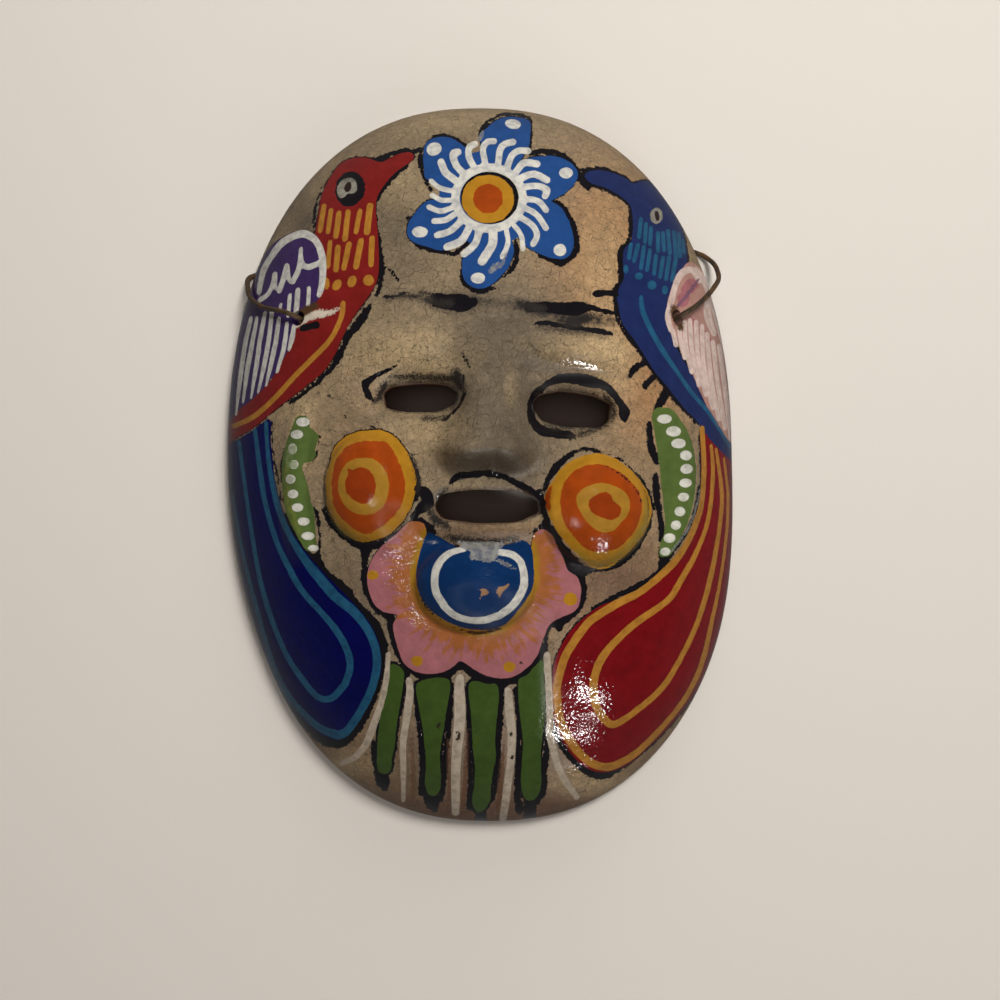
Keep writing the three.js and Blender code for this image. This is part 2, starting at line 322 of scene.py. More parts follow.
def grid_quads(cells):
    """The four corners of each cell, anticlockwise seen from above."""
    index = np.arange((cells + 1) ** 2).reshape(cells + 1, cells + 1)
    corners = [index[:-1, :-1], index[:-1, 1:], index[1:, 1:], index[1:, :-1]]
    return np.stack([corner.ravel() for corner in corners], axis=-1)


def ring_quads(upper, lower):
    """Quads between two rings of as many points, with the outside of the wall facing out."""
    return np.stack([upper, lower, np.roll(lower, -1), np.roll(upper, -1)], axis=-1)


def ring_at(turn, inset, height):
    """A level ring of points, inset from the outline."""
    x, y = on_outline(turn, 1.0, inset)
    return np.stack([x, y, np.full_like(x, height)], axis=-1)


outer_x, outer_y = oval_grid(OUTER_CELLS, 0)
outer_z = np.maximum(face_height(outer_x, outer_y), EDGE_ROUND)
inner_x, inner_y = oval_grid(INNER_CELLS, WALL)
inner_z = np.maximum(hollow_height(inner_x, inner_y), INNER_EDGE_ROUND)
print("outer grid", outer_x.size, "points, inner grid", inner_x.size, "points")

# %% Join the skins into one shell
shell_points = [np.stack([outer_x, outer_y, outer_z], axis=-1).reshape(-1, 3)]
shell_quads = [grid_quads(OUTER_CELLS)]


def angles_on(half_width_inset, points):
    """The outline parameter of rim points, undone from their place on it."""
    across = (points[:, 0] - jaw_shift(points[:, 1])) / (HALF_WIDTH - half_width_inset)
    return np.arctan2(points[:, 1] / (HALF_HEIGHT - half_width_inset), across)


def add_ring(turn, inset, height):
    """Adds a ring of points to the shell and gives their indices."""
    start = sum(len(points) for points in shell_points)
    shell_points.append(ring_at(turn, inset, height))
    return start + np.arange(len(turn))


outer_rim = rim_order(OUTER_CELLS)
shell_points[0][outer_rim, 2] = EDGE_ROUND
outer_turn = angles_on(0, shell_points[0][outer_rim])
last = outer_rim
for bend in np.radians([30, 60, 90]):
    ring = add_ring(outer_turn, EDGE_ROUND * (1 - np.cos(bend)), EDGE_ROUND * (1 - np.sin(bend)))
    shell_quads.append(ring_quads(last, ring))
    last = ring
outer_foot = last

inner_start = sum(len(points) for points in shell_points)
shell_points.append(np.stack([inner_x, inner_y, inner_z], axis=-1).reshape(-1, 3))
inner_rim = rim_order(INNER_CELLS)
shell_points[-1][inner_rim, 2] = INNER_EDGE_ROUND
shell_quads.append(grid_quads(INNER_CELLS)[:, ::-1] + inner_start)
inner_turn = angles_on(WALL, shell_points[-1][inner_rim])
last = inner_rim + inner_start
for bend in np.radians([45, 90]):
    inset = WALL - INNER_EDGE_ROUND * (1 - np.cos(bend))
    ring = add_ring(inner_turn, inset, INNER_EDGE_ROUND * (1 - np.sin(bend)))
    shell_quads.append(ring_quads(last, ring)[:, ::-1])
    last = ring
inner_foot = last

step = np.arange(len(inner_foot))
rim_faces = [inner_foot, np.roll(inner_foot, -1)]
rim_faces += [np.roll(outer_foot, -offset)[3 * step] for offset in (3, 2, 1, 0)]
rim_faces = np.stack(rim_faces, axis=-1)
shell_points = np.concatenate(shell_points)
shell_quads = np.concatenate(shell_quads)
print("shell of", len(shell_points), "points and", len(shell_quads) + len(rim_faces), "faces")


# %% Put the shell in Blender
def mesh_object(name, points_mm, faces):
    """A smooth mesh object at the origin, from places in millimetres."""
    mesh = bpy.data.meshes.new(name)
    mesh.from_pydata((np.asarray(points_mm) * MM).tolist(), [], faces)
    mesh.shade_smooth()
    made = bpy.data.objects.new(name, mesh)
    bpy.context.collection.objects.link(made)
    return made


mask = mesh_object("painted_mask", shell_points, shell_quads.tolist() + rim_faces.tolist())
print("the skin has", len(mask.data.polygons), "faces")

# %% [markdown]
# ## Eyes, mouth and wire holes
#
# The potter cut the slits with a knife while the clay was leather hard, straight through the
# wall, and pricked two holes for the wire. Cutting is what a Boolean does best, because its
# edges stay crisp whatever the grid. All five cutters go in one mesh, so it runs once.

# %% Cut the openings
SLIT_SIDES, HOLE_SIDES = 88, 28
CUT_LOW, CUT_HIGH = 2.0, 60.0


def prism(outline_low, outline_high):
    """A closed prism between two outlines of as many points, one below the other."""
    count = len(outline_low)
    low, high = np.arange(count), np.arange(count) + count
    sides = np.stack([low, np.roll(low, -1), np.roll(high, -1), high], axis=-1)
    faces = [low[::-1].tolist(), high.tolist(), *sides.tolist()]
    return np.concatenate([outline_low, outline_high]), faces


def slit_prism(slit):
    """The slit's superellipse, carried straight up through the wall."""
    angle = np.linspace(0, 2 * np.pi, SLIT_SIDES, endpoint=False)
    c, s = np.cos(angle), np.sin(angle)
    along = slit["half_length"] * np.sign(c) * np.abs(c) ** (2 / SLIT_POWER)
    across = slit["half_height"] * np.sign(s) * np.abs(s) ** (2 / SLIT_POWER)
    wobble = 1 + 0.02 * np.sin(5 * angle + slit["x"]) + 0.015 * np.sin(9 * angle + slit["y"])
    turn = math.radians(slit["tilt"])
    x = slit["x"] + wobble * (along * math.cos(turn) - across * math.sin(turn))
    y = slit["y"] + wobble * (along * math.sin(turn) + across * math.cos(turn))
    low, high = np.full_like(x, CUT_LOW), np.full_like(x, CUT_HIGH)
    return prism(np.stack([x, y, low], axis=-1), np.stack([x, y, high], axis=-1))


def hole_prism(place):
    """A round bore along the outward direction of the bulge."""
    x, y = np.array(place[0], float), np.array(place[1], float)
    centre = np.array([x, y, face_height(x, y)])
    turn = turn_up_to(bulge_normal(x, y))
    angle = np.linspace(0, 2 * np.pi, HOLE_SIDES, endpoint=False)
    circle = HOLE_RADIUS * np.stack([np.cos(angle), np.sin(angle), 0 * angle], axis=-1)
    ends = [centre + (circle + np.array([0, 0, reach])) @ turn.T for reach in (-14, 14)]
    return prism(*ends)


prisms = [slit_prism(slit) for slit in SLITS.values()]
prisms += [hole_prism(place) for place in HOLES.values()]
cut_points, cut_faces = [], []
for points, faces in prisms:
    start = sum(len(part) for part in cut_points)
    cut_points.append(points)
    cut_faces += [[corner + start for corner in face] for face in faces]
cutter = mesh_object("cutter", np.concatenate(cut_points), cut_faces)


def keep_modifiers(piece):
    """Puts what the modifiers make into the mesh itself, and takes them off."""
    shown = piece.evaluated_get(bpy.context.evaluated_depsgraph_get())
    finished = bpy.data.meshes.new_from_object(shown)
    piece.modifiers.clear()
    old, piece.data = piece.data, finished
    bpy.data.meshes.remove(old)
    finished.name = piece.name


opening = mask.modifiers.new("openings", "BOOLEAN")
opening.operation, opening.solver, opening.object = "DIFFERENCE", "EXACT", cutter
keep_modifiers(mask)
bpy.data.objects.remove(cutter)
mask.data.shade_smooth()
mask.data.set_sharp_from_angle(angle=math.radians(50))
print("cut open, the mask has", len(mask.data.vertices), "points")


# %% Lean the mask on its wire
def point_array(mesh):
    """All places of a mesh as one array, in millimetres."""
    flat = np.empty(3 * len(mesh.vertices), np.float32)
    mesh.vertices.foreach_get("co", flat)
    return flat.reshape(-1, 3).astype(float) / MM


clay = point_array(mask.data)
lean = np.array([
    [1, 0, 0],
    [0, math.cos(LEAN), -math.sin(LEAN)],
    [0, math.sin(LEAN), math.cos(LEAN)],
])
placed = clay @ lean.T + np.array([-MIDDLE_X, 0, HALF_HEIGHT * math.sin(LEAN)])
mask.data.vertices.foreach_set("co", (placed * MM).astype(np.float32).ravel())
mask.data.update()
print("leaning, it reaches from", placed.min(0).round(2), "to", placed.max(0).round(2), "mm")

# %% [markdown]
# ## Where the brush went
#
# The ornament is flat colour laid with a brush, so it isn't modelled but painted. Each colour
# is a layer, and a layer is a list of brush marks: areas filled inside a smooth outline, ovals,
# and strokes with a width. Their points were set over the picture, so they are kept
# as they read there, in its pixels, with a named factor to millimetres. They are written short,
# as in a drawing's path: a stroke is its widths, a colon and its points. Every point of the
# mask is looked up where the camera sees it.

# %% The picture's frame
PICTURE_SIZE = 1000
FOCAL_PIXELS = 1325.0
EYE = np.array([4.12, -7.18, 280.0])
PIXEL = EYE[2] / FOCAL_PIXELS


def seen_at(places_mm):
    """The pixel that shows a place: its offset from the eye over its depth, times the focal
    length, from the middle of the picture, with y downwards."""
    offset = (places_mm[:, :2] - EYE[:2]) / (EYE[2] - places_mm[:, 2:])
    return PICTURE_SIZE / 2 + FOCAL_PIXELS * offset * np.array([1, -1])


def read_groups(text):
    """Numbers written as a drawing's path writes them: commas in a group, blanks between."""
    return [tuple(float(number) for number in group.split(",")) for group in text.split()]


def area(text):
    """A filled shape with a smooth outline through its points, written as x,y x,y ..."""
    return dict(kind="area", points=read_groups(text), grow=0)


def areas(text):
    """Several filled shapes, with a semicolon between them."""
    return [area(part) for part in text.split(";")]


def grown(mark, pixels):
    """The same shape, wider by some pixels all round."""
    return dict(mark, grow=pixels)


def oval(x, y, rx, ry, turn=0):
    """A filled ellipse of twelve points, turned clockwise by some degrees."""
    angle = np.linspace(0, 2 * np.pi, 12, endpoint=False)
    c, s = math.cos(math.radians(turn)), math.sin(math.radians(turn))
    along, across = rx * np.cos(angle), ry * np.sin(angle)
    points = np.stack([x + c * along - s * across, y + s * along + c * across], axis=-1)
    return dict(kind="area", points=points, grow=0)


def ovals(text):
    """Several ovals, each written as x,y,rx,ry with or without a turn."""
    return [oval(*numbers) for numbers in read_groups(text)]


def stroke(width, points):
    """A brush stroke: a smooth line with one width, or with one for each of its points."""
    return dict(kind="stroke", points=points, width=width)


def strokes(text):
    """Several brush strokes, each written as its widths, a colon and its points, with a
    semicolon between them."""
    halves = [part.split(":") for part in text.split(";")]
    return [stroke(read_groups(widths)[0], read_groups(points)) for widths, points in halves]


def ring(width, x, y, rx, ry):
    """A stroke all the way round an ellipse."""
    turn = np.radians(np.arange(0, 361, 20))
    return stroke(width, np.stack([x + rx * np.cos(turn), y + ry * np.sin(turn)], axis=-1))


print("a pixel is", round(PIXEL, 4), "mm on the ground")

# %% Flower on the forehead
FLOWER_X, FLOWER_Y = 489, 198
PETALS = areas("""
    480,140 487,128 499,119 513,117 529,121 530,135 526,152 500,180;
    428,180 424,168 424,148 432,139 447,137 461,144 472,158 460,190;
    430,200 412,217 407,231 412,241 428,247 444,250 466,238 460,205;
    466,250 462,270 466,282 475,288 488,287 501,276 510,264 513,244 490,230;
    543,201 559,206 568,219 573,234 573,248 566,258 552,258 538,253 522,242 515,215;
    524,162 544,156 559,157 572,164 578,174 573,186 560,196 545,201 515,195
""")
RAYS = strokes("""
    6: 485,163 483,149 487,142 494,141; 6.5: 498,165 500,150 505,144 513,142;
    6.5: 507,169 511,157 518,151 528,151; 7: 515,173 524,163 537,164; 7: 521,178 534,174 547,180;
    6.5: 525,187 538,186 547,190 545,196; 6: 526,199 538,201 546,210; 6: 525,208 537,215 546,228;
    6: 519,216 533,226 537,236 533,244; 5: 512,223 521,235 523,249; 5: 506,229 508,243 502,257;
    9: 493,231 492,245 482,261; 7: 479,231 475,244 464,254; 7.5: 469,228 461,241 447,247;
    6.5: 461,221 450,231 437,235; 6: 455,214 445,220 434,221; 5.5: 452,208 440,211 429,207;
    5: 451,200 441,200 432,195; 5: 452,191 440,188 431,181; 7.5: 458,182 446,173 441,162;
    7: 464,174 456,165 453,154 458,152; 6.5: 474,167 469,157 469,148 475,144
""")
FLOWER_RING = ring(8.4, 489.2, 198, 33.8, 30.5)
FLOWER_EYE_EDGE = oval(490.5, 197.5, 30, 26.6)
FLOWER_EYE, FLOWER_HEART = oval(488, 199, 26.2, 24.2), oval(488, 198.6, 15, 15)
PETAL_DOTS = ovals("""
    434,149,7.7,6.5,-20 513,124,8,4.7,10 566,173,7,5.5 420,232,8,5.5 560,250,6.5,6.3 478,278,7.3,5.7
""")
FLOWER_OUTLINES = strokes("""
    4,6,6,7,8,10,12: 530,154 543,151 559,154 571,163 578,174 584,180 588,184;
    3,5,6,6,6,6: 548,200 556,202 568,214 575,233 576,251 562,264; 6,6,4: 561,264 551,260 540,256;
    3,5,5,3: 515,240 517,252 514,266 505,276; 3,5,5,4: 461,272 465,284 478,291 494,288;
    4,6,4: 434,137 442,136 450,138; 6,8,3: 450,138 460,144 470,151;
    4: 421,150 420,165 425,180 431,190; 6,9,7: 487,124 483,132 482,139;
    3: 489,121 500,115 514,114 529,118 531,128 530,150; 3,5,4: 416,244 430,250 446,252;
    4: 444,250 454,254 466,244 473,236
""") + ovals("408,218,3,2.5") + [grown(petal, 1) for petal in PETALS]
print(len(PETALS), "petals and", len(RAYS), "rays")

# %% Birds and their tails
RED_BIRD = area("""
    414,157 409,152 396,155 381,162 368,158 354,158 340,164 328,181 321,198 318,217 315,236 321,244
    325,262 325,281 318,300 300,322 292,340 282,362 270,381 252,399 232,413 222,425 222,452 232,441
    253,428 276,409 288,400 306,386 324,371 335,354 344,334 354,316 367,298 376,283 379,265 378,238
    376,203 383,187 396,172 409,163
""")
BLUE_BIRD = area("""
    585,174 597,170 613,173 625,178 633,183 642,181 650,182 660,193 672,210 681,227 686,246 687,264
    680,275 674,288 670,302 668,320 674,342 683,359 691,373 702,392 713,415 728,436 742,447 742,472
    729,459 716,446 705,433 696,420 685,409 670,390 655,372 643,353 633,338 622,323 619,308 617,297
    619,288 624,278 623,267 624,250 631,241 633,223 630,205 617,194 603,187 589,182
""")
RED_TAIL = area("""
    701,430 714,440 729,456 742,470 742,520 738,560 731,590 723,622 712,655 698,688 675,720 652,744
    630,763 612,771 596,772 580,763 566,747 556,728 552,706 552,684 554,664 561,646 572,629 586,616
    600,606 616,600 632,593 647,585 661,574 673,562 684,550 693,533 699,512 701,490 701,460
""")
NAVY_TAIL = area("""
    222,446 235,441 253,430 265,421 271,421 271,440 273,460 275,480 279,497 284,513 291,530 302,547
    316,564 330,579 344,593 357,607 369,622 378,640 381,656 380,674 374,692 366,708 358,722 349,733
    340,740 326,737 310,727 296,713 282,696 266,672 250,645 240,600 228,550 222,500
""")
PURPLE_WING = area("""
    248,300 257,270 270,247 288,234 306,231 320,243 325,262 325,282 318,300 300,320 293,338 284,358
    272,378 256,396 240,409 222,424 220,380 232,335
""")
PINK_WING = area("""
    690,262 702,270 712,290 724,330 734,380 740,440 732,444 716,424 704,400 693,375 684,352 672,334
    666,318 668,300 674,282 681,270
""")
BIRD_OUTLINES = strokes("""
    2,8,5,5,6,3: 371,158 379,160 391,154 406,150 413,152 420,148;
    4,5,5,4,2: 407,166 396,174 388,183 382,191 378,201; 1,3,2: 322,186 315,210 314,238;
    2,4,6,5,4: 379,233 381,255 382,270 380,285 376,296; 3,4,3: 381,266 390,270 398,281;
    3,4,3: 383,297 395,297 405,293; 5,9,9,7: 370,306 362,318 353,330 347,338;
    6,6,5,4,3: 346,340 339,357 327,373 308,390 290,403; 7,9,9,6: 584,172 597,171 611,174 627,180;
    3,4,5,4,4: 577,180 588,184 605,189 620,197 630,206;
    4,5,4,5,5,5,5: 630,205 631,223 628,242 621,250 620,267 621,279 615,290;
    5,5,4,4,4,3: 615,290 616,308 620,325 641,354 668,391 696,423; 5,7,5: 631,375 636,367 647,361;
    7,5: 645,386 656,374; 7,9,6: 668,389 661,402 655,414
""") + areas("""
    284,512 292,524 300,537 308,550 316,552 318,530 313,508 319,514 321,535 321,556 328,570 339,579
    351,589 357,599 366,609 377,619 383,630 387,642 388,654 385,672 380,690 372,711 362,729 352,741
    343,747 331,748 319,743 306,731 290,712 276,693 300,690 340,660 320,600 290,550
""") + strokes("""
    2,2,2: 271,421 273,450 281,500; 8,6,6,6,5,4: 666,562 658,572 647,581 632,589 614,597 592,609;
    5,7,8,8,8,7,5,2: 554,728 560,742 569,754 580,766 592,774 604,776 616,771 632,761
""") + [grown(RED_TAIL, 1.5), grown(RED_BIRD, 1), grown(BLUE_BIRD, 1.5)]
DASHES_OCHRE = strokes("""
    5: 324,206 320,231; 4.5: 331,210 328,232; 5.5: 339,213 336,236; 5.5: 348,212 345,239;
    5: 360,211 356,232; 6.5: 370,206 367,232; 4.5: 330,242 328,267; 5.5: 338,247 336,270;
    5.5: 349,244 344,268; 6: 361,241 356,267; 5.5: 372,238 371,265
""") + ovals("""
    326.6,283.4,3,6 337,285,4.3,6,30 352,281.5,4.5,6,25 368.6,280.3,5.5,5.5
""")
OCHRE_LINES = strokes("""
    5: 343,303 341,318 330,340 313,358 295,376 273,400 253,417 234,426;
    5,5,5,6,6,7,7,7,8,8,8,8,8,8,8,8,9,8,8,7,6,5,5,5,4,3,3,3: 702,428 704,465 702,500 697,520 688,541
    676,560 660,576 640,592 620,602 600,614 587,624 574,642 565,657 559,676 557,692 560,718 571,742
    588,761 606,767 622,762 642,748 672,716 690,690 703,660 713,616 720,582 727,530 728,492;
    3,2: 728,492 724,458;
    3,4,4,5,6,6,7,7,8,8,8,8,7,6,6,5,5,5,4: 711,445 713,475 708,520 696,553 681,580 668,600 640,620
    620,637 602,658 594,680 595,703 606,721 615,724 632,714 662,688 684,652 700,615 712,571 719,532;
    4,4,3: 719,532 722,495 716,449
""")
TEAL_LINES = strokes("""
    4,4,5,6,6,8,10,10,9,8,8,8,8,8,9: 266,423 268,455 272,482 279,510 290,536 305,560 321,580 335,596
    355,613 370,634 377,658 373,685 362,709 348,730 339,735;
    9,7,6,6,5,5,4,3,2: 338,735 320,728 300,710 281,684 268,650 257,610 249,580 240,540 233,495;
    4,5,5,5,6,6,6,7,7,7,7: 255,430 260,470 265,502 276,540 290,570 303,592 320,611 336,630 347,650
    350,668 345,684;
    7,7,6,6,5,5,4,4: 346,683 332,698 318,697 303,680 284,650 263,592 250,522 239,442;
    4,5,5,5,4,4,4: 641,297 643,312 652,332 663,351 678,373 692,393 708,411; 4,3: 708,411 731,448
""")
DASHES_TEAL = strokes("""
    4: 641,219 639,237; 4: 646,224 645,242; 4: 651,228 650,244; 4: 658,233 658,251;
    4: 663,233 664,250; 4: 668,231 670,253; 4: 674,232 676,256; 4: 679,234 680,256;
    3: 683,240 684,253; 4: 631,244 629,258; 4: 638,245 634,261; 4: 644,247 641,268;
    4: 650,250 647,270; 4: 656,256 654,274; 4: 663,258 660,277; 4: 669,258 666,279;
    4: 676,258 672,280
""") + ovals("626,269,2.5,4.5 639,276,4,3.5 652,285,4.6,4.5 665,290,3,4.5")
RED_EYE_BLACK = oval(350, 189, 14.7, 18, 12)
RED_EYE_WHITE = area("""
    343,180 351,178 356,182 357,189 354,193 347,194 344,198 339,197 337,191 338,185
""")
RED_EYE_PUPIL = oval(348, 187, 3.5, 5.5, 15)
BLUE_EYE_BLACK = ring(1.6, 656.4, 215.8, 5.6, 7.6)
BLUE_EYE_WHITE, BLUE_EYE_PUPIL = oval(656.4, 215.8, 6.2, 8), oval(657, 216, 2.3, 5.5, -8)
print(len(BIRD_OUTLINES), "outline strokes round the birds")

# %% Wings
WING_WHITE = strokes("""
    5,6,6,7,7,8,7,7,7: 259,292 263,272 271,257 282,243 294,236 305,234 316,241 322,256 323,272;
    7,6,5: 323,270 322,284 319,295; 5,4,4,5,4,3: 260,300 268,294 273,283 275,274 275,286 279,291;
    5,5,4,4,5: 279,291 283,280 287,265 289,279 293,282;
    5,5,3,4,6,5: 293,281 299,268 301,248 302,262 308,267 319,263;
    4,4.5,4.5,2: 251,318 245,345 240,380 236,415; 3.5,4.5,4.5,2: 257,318 252,344 247,372 243,403;
    4,4.5,4.5,2: 265,313 260,340 256,368 251,398; 4,4.5,4.5,2: 272,311 269,338 264,366 258,393;
    4,4.5,4.5,2: 279,318 276,340 271,364 266,386; 4,4.5,3: 287,323 284,347 277,372;
    4,5,3: 294,326 292,338 289,350; 3: 281,304 280,309; 4: 290,295 288,316; 5: 298,290 296,314;
    4: 309,288 308,306
""")
DRY_WHITE = strokes("5,8,8,5,3: 296,326 304,319 315,314 328,313 338,309")
PINK_WING_WHITE = strokes("""
    5,6,7,6,6,6,5: 699,281 692,270 682,273 676,284 672,299 668,316 671,330;
    6,7,7,6,5: 696,270 705,282 712,300 718,322 724,345; 4.6: 673,331 676,345;
    4.6: 679,318 680,336 685,358; 4.6: 685,322 686,346 692,372; 4.6: 690,320 692,350 699,385;
    4.6: 696,322 698,356 706,395; 4.6: 702,326 704,366 713,408; 4.6: 707,334 711,378 719,419;
    4.6: 713,342 718,386 725,428; 4.6: 719,346 725,390 731,438; 4.6: 724,345 731,385 737,430;
    5,8,5: 707,300 708,316 714,334
""")
PINK_PATCHES = areas("""
    681,290 687,280 696,279 699,286 690,294; 678,295 689,293 688,304 680,307
""") + strokes("4,7,5: 690,318 699,328 709,340")
MAUVE_STROKE = strokes("2,4,3: 699,279 690,291 678,306")
print(len(WING_WHITE), "and", len(PINK_WING_WHITE), "pale strokes on the wings")

# %% Leaves, stems and pale lines
LEFT_LEAF = area("""
    298,416 305,416 309,420 310,427 316,432 319,437 317,443 315,450 316,455 312,461 305,463 302,467
    305,477 308,487 311,502 314,511 315,525 316,540 317,548 311,551 306,550 301,543 295,532 289,520
    285,508 283,495 282,480 282,465 284,450 287,440 291,430 294,421
""")
RIGHT_LEAF = area("""
    656,408 671,409 680,419 687,430 692,443 695,458 696,474 695,492 692,508 688,522 682,535 675,548
    669,556 660,556 660,545 664,534 665,520 663,500 661,482 659,463 657,447 654,430 652,417
""")
LEFT_LEAF_DOTS = ovals("""
    303,422,7,4.6 297,434.5,6.4,4.4 292.5,449,4.5,5.5 294,464.5,4.6,4.6 290.5,479,5,4.6
    293,494,5.5,4.4 297.5,507.5,6,4.2 303.5,521.5,6.2,4 308,536,6.6,4 313.5,548,5.6,3.2
""")
RIGHT_LEAF_DOTS = ovals("""
    664.5,419,7.5,4.6 673.5,431.5,7.6,5.2 678.5,443.5,7.4,5 686,455.5,6,5 686.5,469,6.3,5
    685.5,483,6.4,4.5 683.5,497,5.8,4.3 680,511.5,5.4,4.8 676,525,5.2,4.7 669.5,538,6,4.8
    665.5,551.5,5.2,4.2
""")
STEMS = areas("""
    391,664 399,666 404,673 403,686 401,700 398,717 396,732 395,745 392,758 391,769 386,774 379,772
    377,765 377,750 378,735 380,719 383,702 387,686 390,671;
    419,682 431,678 445,678 450,683 449,697 446,713 444,728 441,745 440,760 441,780 439,792 433,796
    427,792 425,780 426,765 425,750 423,731 420,713 417,697 416,687;
    469,684 476,681 487,684 496,684 499,693 498,708 496,726 495,743 496,757 493,772 491,787 490,801
    483,811 476,811 472,801 474,787 475,768 473,750 472,731 471,713 469,697;
    543,660 544,677 545,695 545,713 543,732 541,750 541,768 541,787 536,798 529,801 523,795 521,780
    522,761 523,743 521,724 519,706 518,688 519,679 527,675 534,667
""")
STEM_EDGES = [grown(stem, 2.5) for stem in STEMS]
STEM_TIPS = areas("375,770 389,775 387,791 377,785; 424,790 440,795 436,812 426,806")
STEM_TIPS += strokes("12: 481,810 481,822; 13: 531,800 529,820")
STEM_SHADOWS = strokes("""
    3,5,4: 373,740 374,757 376,772; 8,6,3: 408,664 404,690 400,715;
    3,4,5,6,8: 414,686 417,715 421,745 422,770 422,792;
    4,5,6,6,5: 452,684 450,718 446,750 444,780 441,800;
    4,4,5,5,6: 466,686 468,712 469,750 470,775 469,808;
    5,5,5,6,4: 502,684 501,710 499,745 497,775 493,800;
    5,5,5,6,9: 515,690 518,717 518,750 517,787 519,810;
    3,6,5,6,4: 547,715 547,743 545,770 544,790 537,803
""")
PALE_LINES = strokes("""
    4.5,5,5.5,6,7,7.5,7,6.5,5.5: 388.5,654 387.5,667 386,682 382,700 376,718 370,735 364,747 354,758
    342,763;
    6,7.5,7.5,7,7,6.5,6,5,4: 409,680 410,692 408.5,706 406,723 403.5,739 403,754 403.5,769 403.5,784
    403.5,800;
    8,10,11,11,11,10,9.5,9,8: 460,678 459.5,690 460,705 460,719 458.5,735 457,752 456,769 455.7,788
    455.7,812;
    6.5,8,9,8.5,8,8,8,8,7.5: 508,690 509,702 510.5,719 512,734 511.5,749 510.5,764 508,782 506,799
    503,818;
    6.5,7,7,7,7,7.5,7.5,7,7,6: 547,655 547.5,668 548.6,684 549.4,702 550,719 550,735 553.6,750
    558,765 565,780 577,797
""")
LEAF_OUTLINES = strokes("""
    1,3,1: 317,431 320,437 318,444; 1,3,1: 318,447 316,456 312,462; 2,2,2: 284,448 281,472 284,500;
    2,2,2: 284,500 294,533 306,551; 6,6,7,8,5: 649,424 650,435 651,446 654,456 657,463;
    5,7,7,6,6,5: 656,474 656,485 657,497 659,510 661,525 662,540; 4,8,9: 660,548 663,558 662,567;
    2,4,5,4,5,6: 698,488 698,500 694,517 688,530 679,543 668,557; 1.5: 676,416 689,436 695,462
""")
SMALL_PITS = strokes("""
    2,3,2: 456,731 459,735 457,741; 1,2,1: 550,727 553,731 552,736; 1,1.5: 547,678 550,676;
    2,3,2: 460,352 466,360 470,368
""") + ovals("""
    438,726,2,2 511,734,1.5,2 512,757,1.5,2.5 440,723,1,1.5 521,663,2,1.5 612,502,1,1.2
    329,396,2.4,2 345,417,2,2
""")
OLIVE_TINTS = strokes("""
    3,6,7,6,3: 287,462 286,480 288,500 293,518 300,534;
    4,6,7,8,7,6,4: 647,500 646,521 637,538 623,553 607,563 592,563 577,551;
    3,5,3: 333,520 345,533 358,538
""")
BROWN_WASH = strokes("""
    2,4,5,4: 467,730 466,758 465,785 463,808; 2,4,6,5: 503,742 502,765 500,790 498,812;
    2,4,5,4: 412,742 413,765 413,785 412,802; 2,4,4,3: 448,740 449,765 449,790 448,806
""")
LEAF_WEAR = ovals("292.5,449,4,5 294,464.5,4,4 291,479,3,3 289,458,4,10")
print(len(STEMS), "stems and", len(PALE_LINES), "pale lines between them")

# %% Face paint: eyes, brows, lips and cheeks
LEFT_CHEEK = areas("""
    373,430 387,432 400,442 410,458 416,479 414,498 406,516 390,534 376,540 364,542 353,539 342,531
    333,520 327,507 326,491 325,478 330,463 333,450 342,439 354,433;
    363,441 376,441 386,442 392,448 397,458 402,470 405,483 404,498 399,509 390,520 378,529 368,534
    357,531 343,520 335,509 332,494 332,478 335,463 343,450 352,444;
    364,458 374,459 383,467 388,477 389,490 385,503 377,512 364,515 351,511 342,501 338,488 340,474
    347,463 355,459;
    347,466 352,470 361,467 370,471 375,480 376,490 371,500 364,504 355,501 347,493 345,483 348,474
""")
RIGHT_CHEEK = areas("""
    590,454 603,454 614,458 627,467 638,478 646,489 650,499 652,511 649,522 643,535 632,548 620,560
    607,568 594,568 583,560 572,549 561,537 552,522 545,503 546,492 553,480 563,467 576,458;
    594,464 607,466 620,472 632,483 640,494 642,509 638,524 629,538 616,549 599,552 586,549 575,538
    566,526 561,511 561,494 566,480 577,469;
    576,498 583,489 598,483 612,485 625,492 630,505 627,516 619,525 612,531 600,532 588,523 580,511;
    588,503 594,496 605,492 611,495 614,502 621,507 620,515 612,520 600,517 591,511
""")
ORANGE_SLIVER = area("553,484 546,492 545,502 547,509 551,511 550,498")
CHEEK_OUTLINES = strokes("""
    4,5,6,7,8,9: 323,510 328,520 335,528 344,536 355,543 366,547;
    9,6,5,4: 366,547 380,544 391,538 400,531; 2,3,4,3: 411,456 417,472 419,486 416,500;
    5,6,8,6,4,4,2: 545,490 549,478 557,466 567,457 580,450 594,450 603,454;
    2,2,2,4,4,3: 603,453 615,457 628,466 641,480 650,497 653,510;
    2,4,5,6,7,5,4: 652,513 649,526 641,541 630,555 617,564 604,569 590,570
""") + areas("""
    541,489 545,504 549,518 554,529 563,542 574,555 585,566 598,570 586,575 587,588 586,600 582,609
    576,616 566,624 560,632 553,627 548,637 546,650 541,656 543,640 548,626 556,617 568,612 577,603
    580,590 574,576 566,570 561,559 557,546 552,535 541,529 531,533 512,541 524,536 538,526 543,518
    535,507 528,496
""") + [grown(LEFT_CHEEK[0], 1.3)] + ovals("373,428,4,2.5")
CHEEK_LINES = strokes("1.4: 607,467 623,476 636,489 642,503")
LEFT_EYE = areas("""
    400,363 383,370 363,380 361,386 366,398 377,405 371,394 369,386 378,377 392,370
""") + strokes("2,3,3,3,2: 463,375 464,394 458,407 447,418 442,420")
